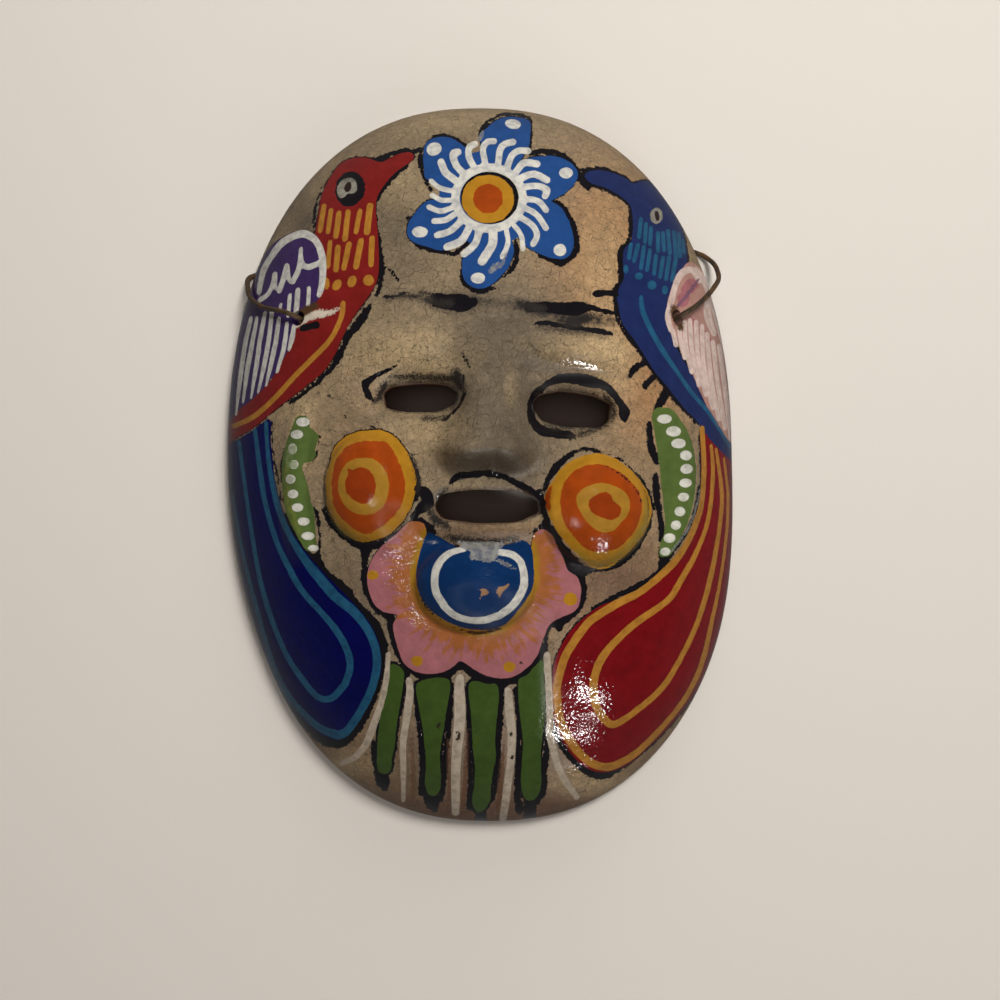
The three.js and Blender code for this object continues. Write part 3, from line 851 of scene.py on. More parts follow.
LEFT_EYE_DRY = strokes("""
    5,7,6: 392,377 420,377 452,379; 8,11,7: 456,372 458,380 461,388; 4,7,7: 374,403 380,396 385,384;
    4,5,4: 424,418 434,419 446,417
""")
RIGHT_EYE = areas("""
    544,383 554,376 569,373 585,374 598,378 608,383 615,390 621,398 629,408 630,415 626,423 620,418
    617,405 604,390 591,388 578,385 562,383 547,388 540,399 536,410 536,419 547,427 569,431 576,435
    570,439 554,438 538,434 529,423 527,406 533,391 541,385
""")
RIGHT_EYE_DRY = strokes("""
    5,6,6: 570,437 590,431 606,424; 4,6,4: 604,396 613,408 612,420; 4,5,4: 545,424 556,428 575,427
""")
BROWS = areas("""
    429,296 436,293 451,294 464,294 471,298 476,297 478,303 471,309 460,312 445,309 432,306 434,300;
    525,303 540,302 565,302 582,302 598,307 611,310 618,315 611,315 591,311 578,316 562,315 549,313
    537,312 525,311
""") + strokes("""
    3,5,5,5,5,3: 533,325 544,323 569,327 591,330 604,332 613,335; 7,6,6: 596,294 606,293 616,294
""")
BROWS_DRY = strokes("""
    2,3,4,3,4: 390,298 401,295 414,296 425,293 432,296; 5,8,8: 430,300 440,303 450,303;
    6,9,8: 519,303 530,307 542,309; 6,12,6: 560,321 576,322 592,317
""")
BROW_SMEAR = strokes("""
    6,16,20,12: 418,298 436,301 458,303 476,301; 3,6,5: 385,300 402,296 420,296;
    8,16,18,14,8: 512,303 535,308 560,313 590,319 612,322; 5,8,8,4: 540,326 566,330 590,332 606,336;
    3,6,3: 470,296 490,302 510,303
""")
LIPS = strokes("""
    5,7,7: 451,482 459,476 480,474; 6,6,6,7,8,8: 480,473 492,474 506,478 520,485 533,493 542,503;
    6,12,12,8: 416,488 425,493 428,503 421,510; 6,8: 421,505 414,517
""")
LIPS_DRY = strokes("""
    3,8,5: 447,488 440,497 440,506; 6,9,6: 428,508 436,520 448,527;
    3,4,3,4,3: 411,455 415,464 417,474 419,483 417,492; 4,9,8,4: 446,536 462,541 490,543 516,538
""")
# Painted shade on the slit walls and rims: dark brown strokes round each opening.
SLIT_SHADE = strokes("""
    3.5: 386,398 390,388 402,384 425,383 446,386 456,395 455,405 444,410 420,411 396,410 387,404
    386,398;
    3.5: 535,405 543,397 560,392 585,393 603,400 610,412 606,422 590,427 565,425 545,419 536,411
    535,405;
    3.5: 437,505 445,496 465,491 490,490 515,491 530,496 538,507 533,516 515,521 488,523 460,521
    444,515 437,505
""")
print("cheeks, eyes, brows and lips are set")

# %% Chin
CHIN_BALL = area("""
    428,533 439,537 450,543 461,547 487,548 511,543 522,540 530,545 533,558 534,575 532,589 523,604
    510,620 500,627 487,630 469,629 450,623 435,614 424,603 418,590 416,575 418,560 422,546
""")
CHIN_RING = strokes("""
    5,6.5,7.5,7.5,7.5,7.5: 465,549 450,553 440,562 435,575 436,592 444,605;
    7.5,7,6.5,7,7.5: 443,605 454,615 469,620 485,620 500,615;
    7.5,8,8,7.5,7: 500,615 513,605 523,589 524,575 521,562; 7,7,6.5: 521,562 513,555 500,552
""")
PINK_FLOWER = area("""
    409,522 419,522 426,528 430,560 470,580 520,570 531,548 533,536 542,529 552,535 557,546 563,557
    568,570 577,577 581,588 580,601 575,611 562,617 550,624 543,640 537,656 527,668 512,677 496,678
    480,673 468,665 460,661 454,666 443,672 428,674 414,671 404,663 399,652 395,638 393,625 397,615
    384,612 375,605 369,592 367,577 370,564 376,553 384,544 395,535 402,528
""")
PINK_FLOWER_DOTS = ovals("373,575,6,5 417,661,6,5.5 509.5,667,6.6,5.4 570.5,599,6.8,6.8")
CHIN_OUTLINES = strokes("""
    12,7,6,6,6,7,9: 366,551 365,560 364,570 364,580 367,592 375,607 390,617;
    9,9,8,8,9,9: 391,620 394,638 400,656 411,669 430,679 448,674;
    9,8,8,8,9: 452,671 461,666 470,672 486,681 504,683; 9,9,9,9: 504,683 522,676 537,662 544,648;
    5,8,6: 420,519 428,527 434,533; 4,7,5: 545,526 555,530 562,545
""") + [grown(PINK_FLOWER, 1)]
BALL_EDGE = strokes("""
    1,3,2: 452,627 476,633 500,629; 2,4,1: 453,543 459,547 464,548; 1,3,1: 419,594 428,609 441,620
""")
CHIPS = areas("""
    496,592 498,587 504,586 511,582 505,590 498,595; 480,590 485,588 489,591 486,595 481,596 482,593
""") + ovals("478,589,1,0.8 487,598,1,0.8 480,598,1.5,0.7,-20 499,597,1,0.8")
GREYS = areas("""
    457,541 470,542 490,542 505,543 500,549 497,556 495,561 486,562 478,560 470,560 470,552 462,548
""") + strokes("""
    2,4,2: 496,560 506,564 516,569; 4,6,3: 491,272 494,268 498,263; 2,3,2: 500,268 503,262 506,254;
    3,4: 483,132 480,139; 1.6: 700,490 695,512 686,532 672,551
""")
WING_DASH = strokes("7: 303,328 316,325")
RUST = strokes("7,9,7: 297,316 304,312 315,306; 7,9,6: 674,308 676,317 681,327")
print(len(PINK_FLOWER["points"]), "points draw the outline of the chin flower")

# %% [markdown]
# ## From brush marks to distances
#
# A painted edge could be cut into the mesh, or drawn in an image. Here each colour is a number
# on every point instead: the distance in millimetres to the nearest edge of that colour, which
# is negative under the paint. Such a distance is nearly straight between points, so a shader
# that cuts it at zero draws an edge finer than the mesh, and noise added to it frays the edge
# as a brush does. Marks that lie close together take turns between two such numbers, so that
# the narrow gap between them isn't lost.

# %% Distances to marks
FAR = 3.0


def smooth_line(points, closed, steps):
    """A Catmull-Rom curve: between each two points a cubic shaped by their neighbours."""
    nodes = np.asarray(points, float)
    nodes = np.vstack([nodes[-1:], nodes, nodes[:2]] if closed else [nodes[:1], nodes, nodes[-1:]])
    p0, p1, p2, p3 = (nodes[i : len(nodes) - 3 + i, None, :] for i in range(4))
    t = np.linspace(0, 1, steps, endpoint=False)[None, :, None]
    cubic = 2 * p1 + (p2 - p0) * t + (2 * p0 - 5 * p1 + 4 * p2 - p3) * t**2
    cubic = (cubic + (3 * p1 - p0 - 3 * p2 + p3) * t**3) / 2
    line = cubic.reshape(-1, nodes.shape[1])
    return line if closed else np.vstack([line, nodes[-2]])


def stroke_distance(places, mark):
    """Distance to the nearest piece of the line, less half the width there."""
    widths = np.broadcast_to(np.asarray(mark["width"], float), len(mark["points"]))
    line = smooth_line(np.column_stack([mark["points"], widths]), False, 5)
    nearest = np.full(len(places), np.inf)
    for start, end in zip(line[:-1], line[1:]):
        run = end[:2] - start[:2]
        along = np.clip((places - start[:2]) @ run / max(run @ run, 1e-9), 0, 1)
        gap = np.linalg.norm(places - start[:2] - along[:, None] * run, axis=1)
        nearest = np.minimum(nearest, gap - (start[2] + along * (end[2] - start[2])) / 2)
    return nearest


def area_distance(places, mark):
    """Distance to the outline, negative where a ray to the right crosses it an odd number
    of times, less what the area is grown by."""
    line = smooth_line(mark["points"], True, 5)
    nearest = np.full(len(places), np.inf)
    inside = np.zeros(len(places), bool)
    x, y = places.T
    for start, end in zip(line, np.roll(line, -1, axis=0)):
        run = end - start
        along = np.clip((places - start) @ run / max(run @ run, 1e-9), 0, 1)
        nearest = np.minimum(nearest, np.linalg.norm(places - start - along[:, None] * run, axis=1))
        if run[1]:
            crosses = (start[1] > y) != (end[1] > y)
            inside ^= crosses & (x < start[0] + (y - start[1]) * run[0] / run[1])
    return np.where(inside, -nearest, nearest) - mark["grow"]


def layer_distance(pixels, marks, reach=FAR):
    """The smallest distance to any of the marks, in millimetres, no more than the reach."""
    distance = np.full(len(pixels), reach)
    for mark in marks:
        points = np.asarray(mark["points"], float)
        margin = reach / PIXEL + np.max(mark.get("width", 0)) + mark.get("grow", 0)
        near = np.all((pixels > points.min(0) - margin) & (pixels < points.max(0) + margin), axis=1)
        measure = stroke_distance if mark["kind"] == "stroke" else area_distance
        distance[near] = np.minimum(distance[near], measure(pixels[near], mark) * PIXEL)
    return np.maximum(distance, -reach)


def put_on_points(mesh, name, values):
    """Keeps one number for each point of a mesh, for a shader to read by its name."""
    layer = mesh.attributes.new(name, "FLOAT", "POINT")
    layer.data.foreach_set("value", np.asarray(values, np.float32))


# %% Which clay is painted at all
depth = face_height(clay[:, 0], clay[:, 1]) - clay[:, 2]
at_rim = outline_share(clay[:, 0], clay[:, 1]) > 0.985
hidden = np.where(at_rim, smooth_step((0.5 - clay[:, 2]) / 0.4), smooth_step((depth - 1.0) / 0.5))
pixels = seen_at(placed)
put_on_points(mask.data, "outside", 1 - hidden)
print("painted side:", int(np.sum(hidden < 0.5)), "of", len(hidden), "points")

# %% The layers of paint, the lowest first
INK_TONE, DRY_TONE = (17, 15, 18), (36, 33, 31)


def paint(name, tone, marks, fray=0.35, grit=0.12, soft=0.06, thin=1.0, most=1.0, turns=1):
    """One layer: its colour and marks; by how many millimetres its edge wanders, crumbles and
    fades; how thin and how thick it lies; and how many distances its marks take turns in."""
    return dict(name=name, tone=tone, marks=marks, fray=fray, grit=grit, soft=soft,
                thin=thin, most=most, turns=turns)


LAYERS = [
    paint("outline", INK_TONE, FLOWER_OUTLINES + BIRD_OUTLINES + LEAF_OUTLINES + CHEEK_OUTLINES
          + CHIN_OUTLINES + STEM_SHADOWS + STEM_EDGES + STEM_TIPS, fray=1.0, grit=0.8),
    paint("crimson", (98, 11, 16), [RED_TAIL]),
    paint("navy", (3, 5, 62), [NAVY_TAIL]),
    paint("red", (103, 24, 22), [RED_BIRD]),
    paint("dark_blue", (24, 34, 72), [BLUE_BIRD]),
    paint("petal_blue", (27, 60, 110), PETALS + [oval(FLOWER_X, FLOWER_Y, 50, 48)]),
    paint("wing_clay", (148, 112, 102), [PINK_WING]),
    paint("purple", (50, 34, 75), [PURPLE_WING]),
    paint("leaf_green", (70, 86, 42), [LEFT_LEAF, RIGHT_LEAF]),
    paint("stem_green", (52, 71, 28), STEMS),
    paint("pink", (136, 80, 86), [PINK_FLOWER] + PINK_PATCHES),
    paint("ball_blue", (8, 37, 75), [CHIN_BALL]),
    paint("brown_wash", (90, 62, 46), BROWN_WASH, fray=0.8, grit=0.8, soft=0.25, thin=0.4,
          most=0.8),
    paint("ink_under", INK_TONE, [FLOWER_EYE_EDGE] + BALL_EDGE, fray=0.5),
    paint("yellow", (146, 103, 25), [LEFT_CHEEK[0], RIGHT_CHEEK[0], FLOWER_EYE] + PINK_FLOWER_DOTS,
          fray=0.7),
    paint("olive", (110, 112, 48), OLIVE_TINTS, fray=0.9, grit=1.2, soft=0.4, thin=0.1, most=0.5),
    paint("orange", (130, 53, 11), [LEFT_CHEEK[1], RIGHT_CHEEK[1], ORANGE_SLIVER, FLOWER_HEART],
          fray=0.6),
    paint("yellow_ring", (136, 99, 33), [LEFT_CHEEK[2], RIGHT_CHEEK[2]], fray=0.5),
    paint("orange_heart", (118, 44, 11), [LEFT_CHEEK[3], RIGHT_CHEEK[3]], fray=0.5),
    paint("ochre", (147, 102, 38), OCHRE_LINES + DASHES_OCHRE, thin=0.85, turns=2),
    paint("teal", (28, 72, 98), TEAL_LINES + DASHES_TEAL, thin=0.8, turns=2),
    paint("white", (176, 174, 166), RAYS + [FLOWER_RING] + WING_WHITE + CHIN_RING + PETAL_DOTS
          + LEFT_LEAF_DOTS + RIGHT_LEAF_DOTS, thin=0.75, turns=2),
    paint("leaf_wear", (98, 112, 72), LEAF_WEAR, fray=0.6, grit=1.4, thin=0.2, most=0.8),
    paint("pale_lines", (158, 146, 130), PALE_LINES, fray=0.5, thin=0.72),
    paint("wing_pale", (178, 160, 152), PINK_WING_WHITE, thin=0.75, turns=2),
    paint("mauve", (105, 72, 88), MAUVE_STROKE),
    paint("dry_white", (176, 166, 150), DRY_WHITE, fray=0.8, grit=1.6, soft=0.15),
    paint("brow_smear", (42, 39, 38), BROW_SMEAR, fray=1.2, grit=2.4, soft=0.8, thin=0.3),
    paint("ink", INK_TONE, LEFT_EYE + RIGHT_EYE + BROWS + LIPS + CHEEK_LINES + WING_DASH
          + [RED_EYE_BLACK, BLUE_EYE_BLACK], fray=0.7, grit=0.3),
    paint("ink_dry", DRY_TONE, LEFT_EYE_DRY + RIGHT_EYE_DRY + BROWS_DRY + LIPS_DRY,
          fray=0.9, grit=2.6, soft=0.45),
    # Painted shade round the slits.
    paint("slit_shade", (56, 46, 37), SLIT_SHADE, fray=0.8, grit=1.6, soft=0.4),
    paint("pits", (40, 34, 28), SMALL_PITS, fray=0.5, grit=1.2),
    paint("grey", (112, 112, 110), GREYS, fray=0.9, grit=1.5, thin=0.5),
    paint("eye_white", (122, 118, 108), [RED_EYE_WHITE, BLUE_EYE_WHITE], fray=0.5, grit=0.5,
          thin=0.6),
    paint("pupil", (34, 22, 20), [RED_EYE_PUPIL, BLUE_EYE_PUPIL]),
    paint("chips", (125, 95, 70), CHIPS, fray=0.8, grit=0.6),
    paint("rust", (66, 46, 28), RUST, fray=0.9, grit=1.6, soft=0.3),
]
for layer in LAYERS:
    layer["fields"] = [f"{layer['name']}_{turn}" for turn in range(layer["turns"])]
    for turn, field in enumerate(layer["fields"]):
        distance = layer_distance(pixels, layer["marks"][turn :: layer["turns"]])
        put_on_points(mask.data, field, distance + (FAR - distance) * hidden)
print(len(LAYERS), "layers of", sum(len(layer["marks"]) for layer in LAYERS), "marks")

# %% Soft spots of the clay and the varnish
# Each spot is its middle, its half sizes in pixels, and its strength.
SPOTS = {
    # Soot spots: grey patches, partly a real smoky wash and partly painted shade beside and under
    # the nose, below the right cheek and towards the bottom.
    "soot_and_shade": """
        500,400,30,75,0.75 510,332,50,16,0.15 480,415,12,30,0.35 490,785,115,30,0.4
        484,452,34,13,0.9 500,312,45,26,0.4 522,385,14,30,0.4 462,352,16,16,0.4 395,218,28,54,0.75
        445,140,24,14,0.5 458,384,10,22,0.5 430,496,18,16,0.5 520,480,22,6,0.4 306,226,12,22,1
        540,450,40,26,0.25 375,416,20,10,0.4 420,420,26,8,0.4 625,582,48,28,0.6 350,600,26,40,0.5
        455,735,100,60,0.55 470,530,50,8,0.6 540,350,60,14,0.35
    """,
    "warmth": """
        606,248,38,58,1.1 650,380,32,56,1 605,590,60,40,1 480,775,150,50,1 500,535,50,8,0.5
        352,430,50,60,0.15
    """,
    "cream": """
        408,357,40,17,1 575,348,40,12,0.4 604,285,22,56,0.4 616,365,20,24,0.5 430,430,30,20,0.5
        300,425,14,30,0.6 345,765,30,12,0.6 585,784,34,11,0.9 440,122,56,12,0.3 470,485,40,6,0.2
        511,390,6,16,0.35 400,180,30,20,0.4 500,525,40,6,0.3
    """,
    # Browned spots: painted shade, darker and browner clay along the bottom rim, under the lower
    # lip and beside the lower cheeks.
    "brown_shade": """
        500,818,100,17,1.4 622,582,46,26,0.55 480,531,52,7,0.5 510,765,30,40,0.3 350,592,14,30,0.3
    """,
    "crinkled": """
        579,672,8,15,1 608,694,9,14,1 594,717,20,7,1 588,742,13,10,1.1 606,764,14,5,0.9
        603,545,12,20,0.9 386,543,6,6,0.9 491,475,3,6,1 531,608,9,9,0.9 474,583,20,9,0.3
        497,590,16,10,0.6 580,772,14,6,0.9 430,530,6,4,0.9
    """,
    "dulled": """
        393,520,11,13,1 476,597,9,9,0.8 572,381,44,6,1 620,398,8,10,0.9 554,520,8,14,0.8
        585,568,12,5,0.7 486,600,28,12,0.85 512,624,18,11,0.9 709,266,8,18,1 548,660,5,30,0.8
    """,
}
VARNISH_RIDGES = strokes("""
    2,6,8,8,7,4: 534,352 548,356 564,360 580,363 596,366 612,367;
    2,4,5,3: 530,344 542,347 556,350 570,352
""")


def soft_spots(points, spots):
    """A sum of round bells: e to the minus half the squared share of each spot's size."""
    total = np.zeros(len(points))
    for x, y, rx, ry, strength in spots:
        share = ((points[:, 0] - x) / rx) ** 2 + ((points[:, 1] - y) / ry) ** 2
        total += strength * np.exp(-share / 2)
    return np.minimum(total, 1)


for name, spots in SPOTS.items():
    put_on_points(mask.data, name, soft_spots(pixels, read_groups(spots)))
put_on_points(mask.data, "ridges", layer_distance(pixels, VARNISH_RIDGES))
print({name: len(read_groups(spots)) for name, spots in SPOTS.items()})

# %% The way from the chin ball, and the way round it
GLOW_REACH = 8.0
put_on_points(mask.data, "from_ball", layer_distance(pixels, [CHIN_BALL], GLOW_REACH))
BALL_X, BALL_Y, BALL_RADIUS = 476, 575, 14
round_ball = np.arctan2(pixels[:, 0] - BALL_X, pixels[:, 1] - BALL_Y) * BALL_RADIUS
put_on_points(mask.data, "round_ball", round_ball)
print("the glow reaches", GLOW_REACH, "mm from the ball")

# %% [markdown]
# ## Clay, paint and varnish
#
# The finish is one material. Bare clay comes first: a tan body with pale and dark grains and
# fine cracks, and soft patches that are warm or creamy, greyed by soot and painted shade, or
# darker and browner as painted shade. Then each paint covers what lies below it, wherever its
# distance is under zero. The varnish comes last and has no colour, only roughness and bump:
# smooth over paint, mostly worn off the bare clay, and in a thick levelled ridge over the right
# brow. Where it dried in a skin it is crinkled, which breaks a reflection into sparks, and where
# hands rubbed it it is dull. The hollow is rough.

# %% Short ways to add shader nodes
def fill(tree, socket, value):
    """Links a socket, or sets a plain value."""
    if isinstance(value, bpy.types.NodeSocket):
        tree.links.new(value, socket)
    else:
        socket.default_value = value


def maths(tree, operation, *values):
    """One step of arithmetic."""
    node = tree.nodes.new("ShaderNodeMath")
    node.operation = operation
    for socket, value in zip(node.inputs, values):
        fill(tree, socket, value)
    return node.outputs[0]


def remap(tree, value, low, high, to_low=0.0, to_high=1.0):
    """Stretches a range of values onto another one, and stops at its ends."""
    node = tree.nodes.new("ShaderNodeMapRange")
    for socket, given in zip(node.inputs, (value, low, high, to_low, to_high)):
        fill(tree, socket, given)
    return node.outputs[0]


def blend_colour(tree, share, first, second, mode="MIX"):
    """One colour over another, by a share."""
    node = tree.nodes.new("ShaderNodeMix")
    node.data_type, node.blend_type = "RGBA", mode
    for place, value in ((0, share), (6, first), (7, second)):
        fill(tree, node.inputs[place], value)
    return node.outputs[2]


def blend_value(tree, share, first, second):
    """One number over another, by a share."""
    node = tree.nodes.new("ShaderNodeMix")
    node.data_type = "FLOAT"
    for place, value in ((0, share), (2, first), (3, second)):
        fill(tree, node.inputs[place], value)
    return node.outputs[0]


def noise(tree, place, size_mm, detail=2.0, harshness=0.5):
    """Random cloudiness with spots of about the given size, on the object's own metres."""
    node = tree.nodes.new("ShaderNodeTexNoise")
    tree.links.new(place, node.inputs["Vector"])
    node.inputs["Scale"].default_value = 1 / (size_mm * MM)
    node.inputs["Detail"].default_value = detail
    node.inputs["Roughness"].default_value = harshness
    return node.outputs["Fac"]


def point_value(tree, name):
    """Reads a number kept on the points."""
    node = tree.nodes.new("ShaderNodeAttribute")
    node.attribute_name = name
    return node.outputs["Fac"]


def tone(red, green, blue):
    """A colour as the eye reads it, 0 to 255, turned into amounts of light."""
    share = np.array([red, green, blue]) / 255
    light = np.where(share <= 0.04045, share / 12.92, ((share + 0.055) / 1.055) ** 2.4)
    return (*light.tolist(), 1.0)


def even_grey(tree, value):
    """A number as an even grey, to darken or brighten a colour with."""
    node = tree.nodes.new("ShaderNodeCombineColor")
    for socket in node.inputs[:3]:
        tree.links.new(value, socket)
    return node.outputs[0]


def cracks(tree, place, size_mm):
    """How far a place lies from the nearest border of random cells, as a share of a cell."""
    node = tree.nodes.new("ShaderNodeTexVoronoi")
    node.feature = "DISTANCE_TO_EDGE"
    node.inputs["Scale"].default_value = 1 / (size_mm * MM)
    tree.links.new(place, node.inputs["Vector"])
    return node.outputs["Distance"]


# %% Bare clay
# The soot tone stands for soot and painted shade together; the brown tone is painted shade.
CLAY_TAN, CLAY_SOOT_AND_SHADE, CLAY_WARM = (126, 110, 87), (84, 75, 63), (142, 108, 75)
CLAY_CREAM, CLAY_SHADE_BROWN = (174, 152, 114), (92, 62, 43)
CLAY_PALE_GRAIN, CLAY_DARK_GRAIN, HOLLOW_TONE = (156, 136, 101), (50, 41, 31), (150, 108, 82)
BLOTCH_SIZE, PALE_GRAIN_SIZE = 1.1, 0.5
CRACK_CELL, CRACK_BEND, CRACK_WIDTH = 2.3, 1.6, 0.06


def bare_clay(tree, place, cloud, wander, grain):
    """Tan clay, warmer in places, greyed by soot and painted shade in others, and darker and
    browner with painted shade lower down, with pale and dark grains and cracks.
    """
    # Soot and painted shade: the clay turns greyer where these spots lie.
    soot_and_shade_share = maths(tree, "MULTIPLY_ADD", cloud, 0.7, point_value(tree, "soot_and_shade"))
    soot_and_shade_share = remap(tree, maths(tree, "MULTIPLY_ADD", grain, 0.7, soot_and_shade_share), 0.62, 1.75)
    warm = maths(tree, "MULTIPLY_ADD", wander, 0.5, point_value(tree, "warmth"))
    colour = blend_colour(tree, remap(tree, warm, 0.25, 1.2), tone(*CLAY_TAN), tone(*CLAY_WARM))
    colour = blend_colour(tree, soot_and_shade_share, colour, tone(*CLAY_SOOT_AND_SHADE))
    creamy = maths(tree, "MULTIPLY_ADD", cloud, 0.5, point_value(tree, "cream"))
    colour = blend_colour(tree, remap(tree, creamy, 0.3, 1.2, 0.0, 0.8), colour, tone(*CLAY_CREAM))
    # Painted shade: the clay turns darker and browner where these spots lie.
    brown_shade_share = maths(tree, "MULTIPLY_ADD", wander, 0.5, point_value(tree, "brown_shade"))
    colour = blend_colour(tree, remap(tree, brown_shade_share, 0.3, 1.2, 0.0, 0.8), colour, tone(*CLAY_SHADE_BROWN))
    blotches = noise(tree, place, BLOTCH_SIZE, 5.0, 0.7)
    shade = even_grey(tree, remap(tree, blotches, 0.3, 0.7, 0.72, 1.28))
    colour = blend_colour(tree, 1.0, colour, shade, "MULTIPLY")
    pale = remap(tree, noise(tree, place, PALE_GRAIN_SIZE, 4.0, 0.8), 0.54, 0.7, 0.0, 0.5)
    pale = maths(tree, "MULTIPLY", pale, remap(tree, soot_and_shade_share, 0.1, 0.7, 1.0, 0.25))
    colour = blend_colour(tree, pale, colour, tone(*CLAY_PALE_GRAIN))
    dark = remap(tree, grain, 0.47, 0.34, 0.0, 0.7)
    colour = blend_colour(tree, dark, colour, tone(*CLAY_DARK_GRAIN))
    bent_place = tree.nodes.new("ShaderNodeVectorMath")
    bent_place.operation = "MULTIPLY_ADD"
    tree.links.new(even_grey(tree, wander), bent_place.inputs[0])
    bent_place.inputs[1].default_value = [CRACK_BEND * MM] * 3
    tree.links.new(place, bent_place.inputs[2])
    border = cracks(tree, bent_place.outputs[0], CRACK_CELL)
    lines = remap(tree, border, CRACK_WIDTH, 0.0, 0.0, 0.8)
    lines = maths(tree, "MULTIPLY", lines, remap(tree, blotches, 0.45, 0.56))
    return blend_colour(tree, lines, colour, tone(*CLAY_DARK_GRAIN))


# %% Paint in layers
PINK_TONE, FLOWER_ORANGE, FLOWER_YELLOW = (138, 86, 90), (134, 80, 36), (134, 98, 26)


def chin_flower_paint(tree, place, wander):
    """Pink petals, brushed with orange towards the ball and edged in yellow against it."""
    near = point_value(tree, "from_ball")
    spoke = tree.nodes.new("ShaderNodeCombineXYZ")
    tree.links.new(maths(tree, "MULTIPLY", point_value(tree, "round_ball"), MM), spoke.inputs[0])
    tree.links.new(maths(tree, "MULTIPLY", near, 0.18 * MM), spoke.inputs[1])
    streak = noise(tree, spoke.outputs[0], 0.8, 2.0, 0.6)
    patches = noise(tree, place, 3.2, 2.0, 0.5)
    reach = maths(tree, "MULTIPLY_ADD", streak, 14.0, maths(tree, "MULTIPLY", patches, 6.0))
    brushed = maths(tree, "SUBTRACT", near, reach)
    orange = remap(tree, brushed, -4.4, -6.2, 0.0, 0.92)
    petals = blend_colour(tree, orange, tone(*PINK_TONE), tone(*FLOWER_ORANGE))
    edge = maths(tree, "MULTIPLY_ADD", wander, 1.6, near)
    return blend_colour(tree, remap(tree, edge, 2.5, 1.5), petals, tone(*FLOWER_YELLOW))


def add_paint(tree, place, wander, grain, colour):
    """Lays each layer over what lies below it; gives the colour, and where any paint is."""
    covered = 0.0
    for layer in LAYERS:
        fields = [point_value(tree, field) for field in layer["fields"]]
        distance = fields[0] if len(fields) == 1 else maths(tree, "MINIMUM", *fields)
        fray, grit = layer["fray"], layer["grit"]
        distance = maths(tree, "MULTIPLY_ADD", wander, fray, distance)
        distance = maths(tree, "MULTIPLY_ADD", grain, grit, distance)
        middle, soft = (fray + grit) / 2, layer["soft"]
        cover = remap(tree, distance, middle + soft, middle - soft)
        covered = maths(tree, "MAXIMUM", covered, cover)
        shade = tone(*layer["tone"])
        if layer["name"] == "pink":
            shade = chin_flower_paint(tree, place, wander)
        if layer["thin"] < 1:
            opaque = remap(tree, wander, 0.36, 0.56, layer["thin"], layer["most"])
            cover = maths(tree, "MULTIPLY", cover, opaque)
        colour = blend_colour(tree, cover, colour, shade)
    return colour, covered


# %% The finish of the mask
VARNISH_ROUGHNESS, CLAY_ROUGHNESS, HOLLOW_ROUGHNESS = 0.1, 0.45, 0.9
RIDGE_ROUGHNESS, DULLED_ROUGHNESS = 0.07, 1.0
VARNISH_SHINE = 0.35
CLOUD_SIZE, MOTTLE_SIZE, WANDER_SIZE, GRAIN_SIZE = 14, 2.6, 1.3, 0.42
WRINKLE_SIZE, CRINKLE_SIZE, BUMP_HEIGHT = 1.5, 0.75, 0.12
CLAY_GRAIN_DEPTH, PAINT_GRAIN_DEPTH, HOLLOW_DEPTH = 0.8, 0.16, 3.0
WRINKLE_DEPTH, RIDGE_DEPTH, CRINKLED_RISE = 0.8, 0.45, 2.0


def surface_bump(tree, shader, place, grain, covered, ridged, outside):
    """Slow wrinkles, plus a grain that is shallower under paint and thick varnish, plus fine
    crinkles where the varnish dried in a skin; all are shares of the bump's height."""
    wrinkles = noise(tree, place, WRINKLE_SIZE)
    crinkles = noise(tree, place, CRINKLE_SIZE)
    crinkled = point_value(tree, "crinkled")
    amount = remap(tree, crinkled, 0.05, 0.8, 0.06, 1.3)
    level = maths(tree, "MAXIMUM", covered, ridged)
    depth = blend_value(tree, level, CLAY_GRAIN_DEPTH, PAINT_GRAIN_DEPTH)
    fine = maths(tree, "MULTIPLY", grain, depth)
    fine = maths(tree, "MULTIPLY_ADD", crinkles, amount, fine)
    on_ridge = maths(tree, "MULTIPLY", ridged, RIDGE_DEPTH)
    fine = maths(tree, "MULTIPLY_ADD", crinkles, on_ridge, fine)
    fine = maths(tree, "MULTIPLY_ADD", crinkled, CRINKLED_RISE, fine)
    fine = maths(tree, "MULTIPLY", fine, blend_value(tree, outside, HOLLOW_DEPTH, 1.0))
    bump = tree.nodes.new("ShaderNodeBump")
    bump.inputs["Distance"].default_value = BUMP_HEIGHT * MM
    bump.inputs["Strength"].default_value = 1.0
    height = maths(tree, "MULTIPLY_ADD", wrinkles, WRINKLE_DEPTH, fine)
    tree.links.new(height, bump.inputs["Height"])
    tree.links.new(bump.outputs[0], shader.inputs["Normal"])


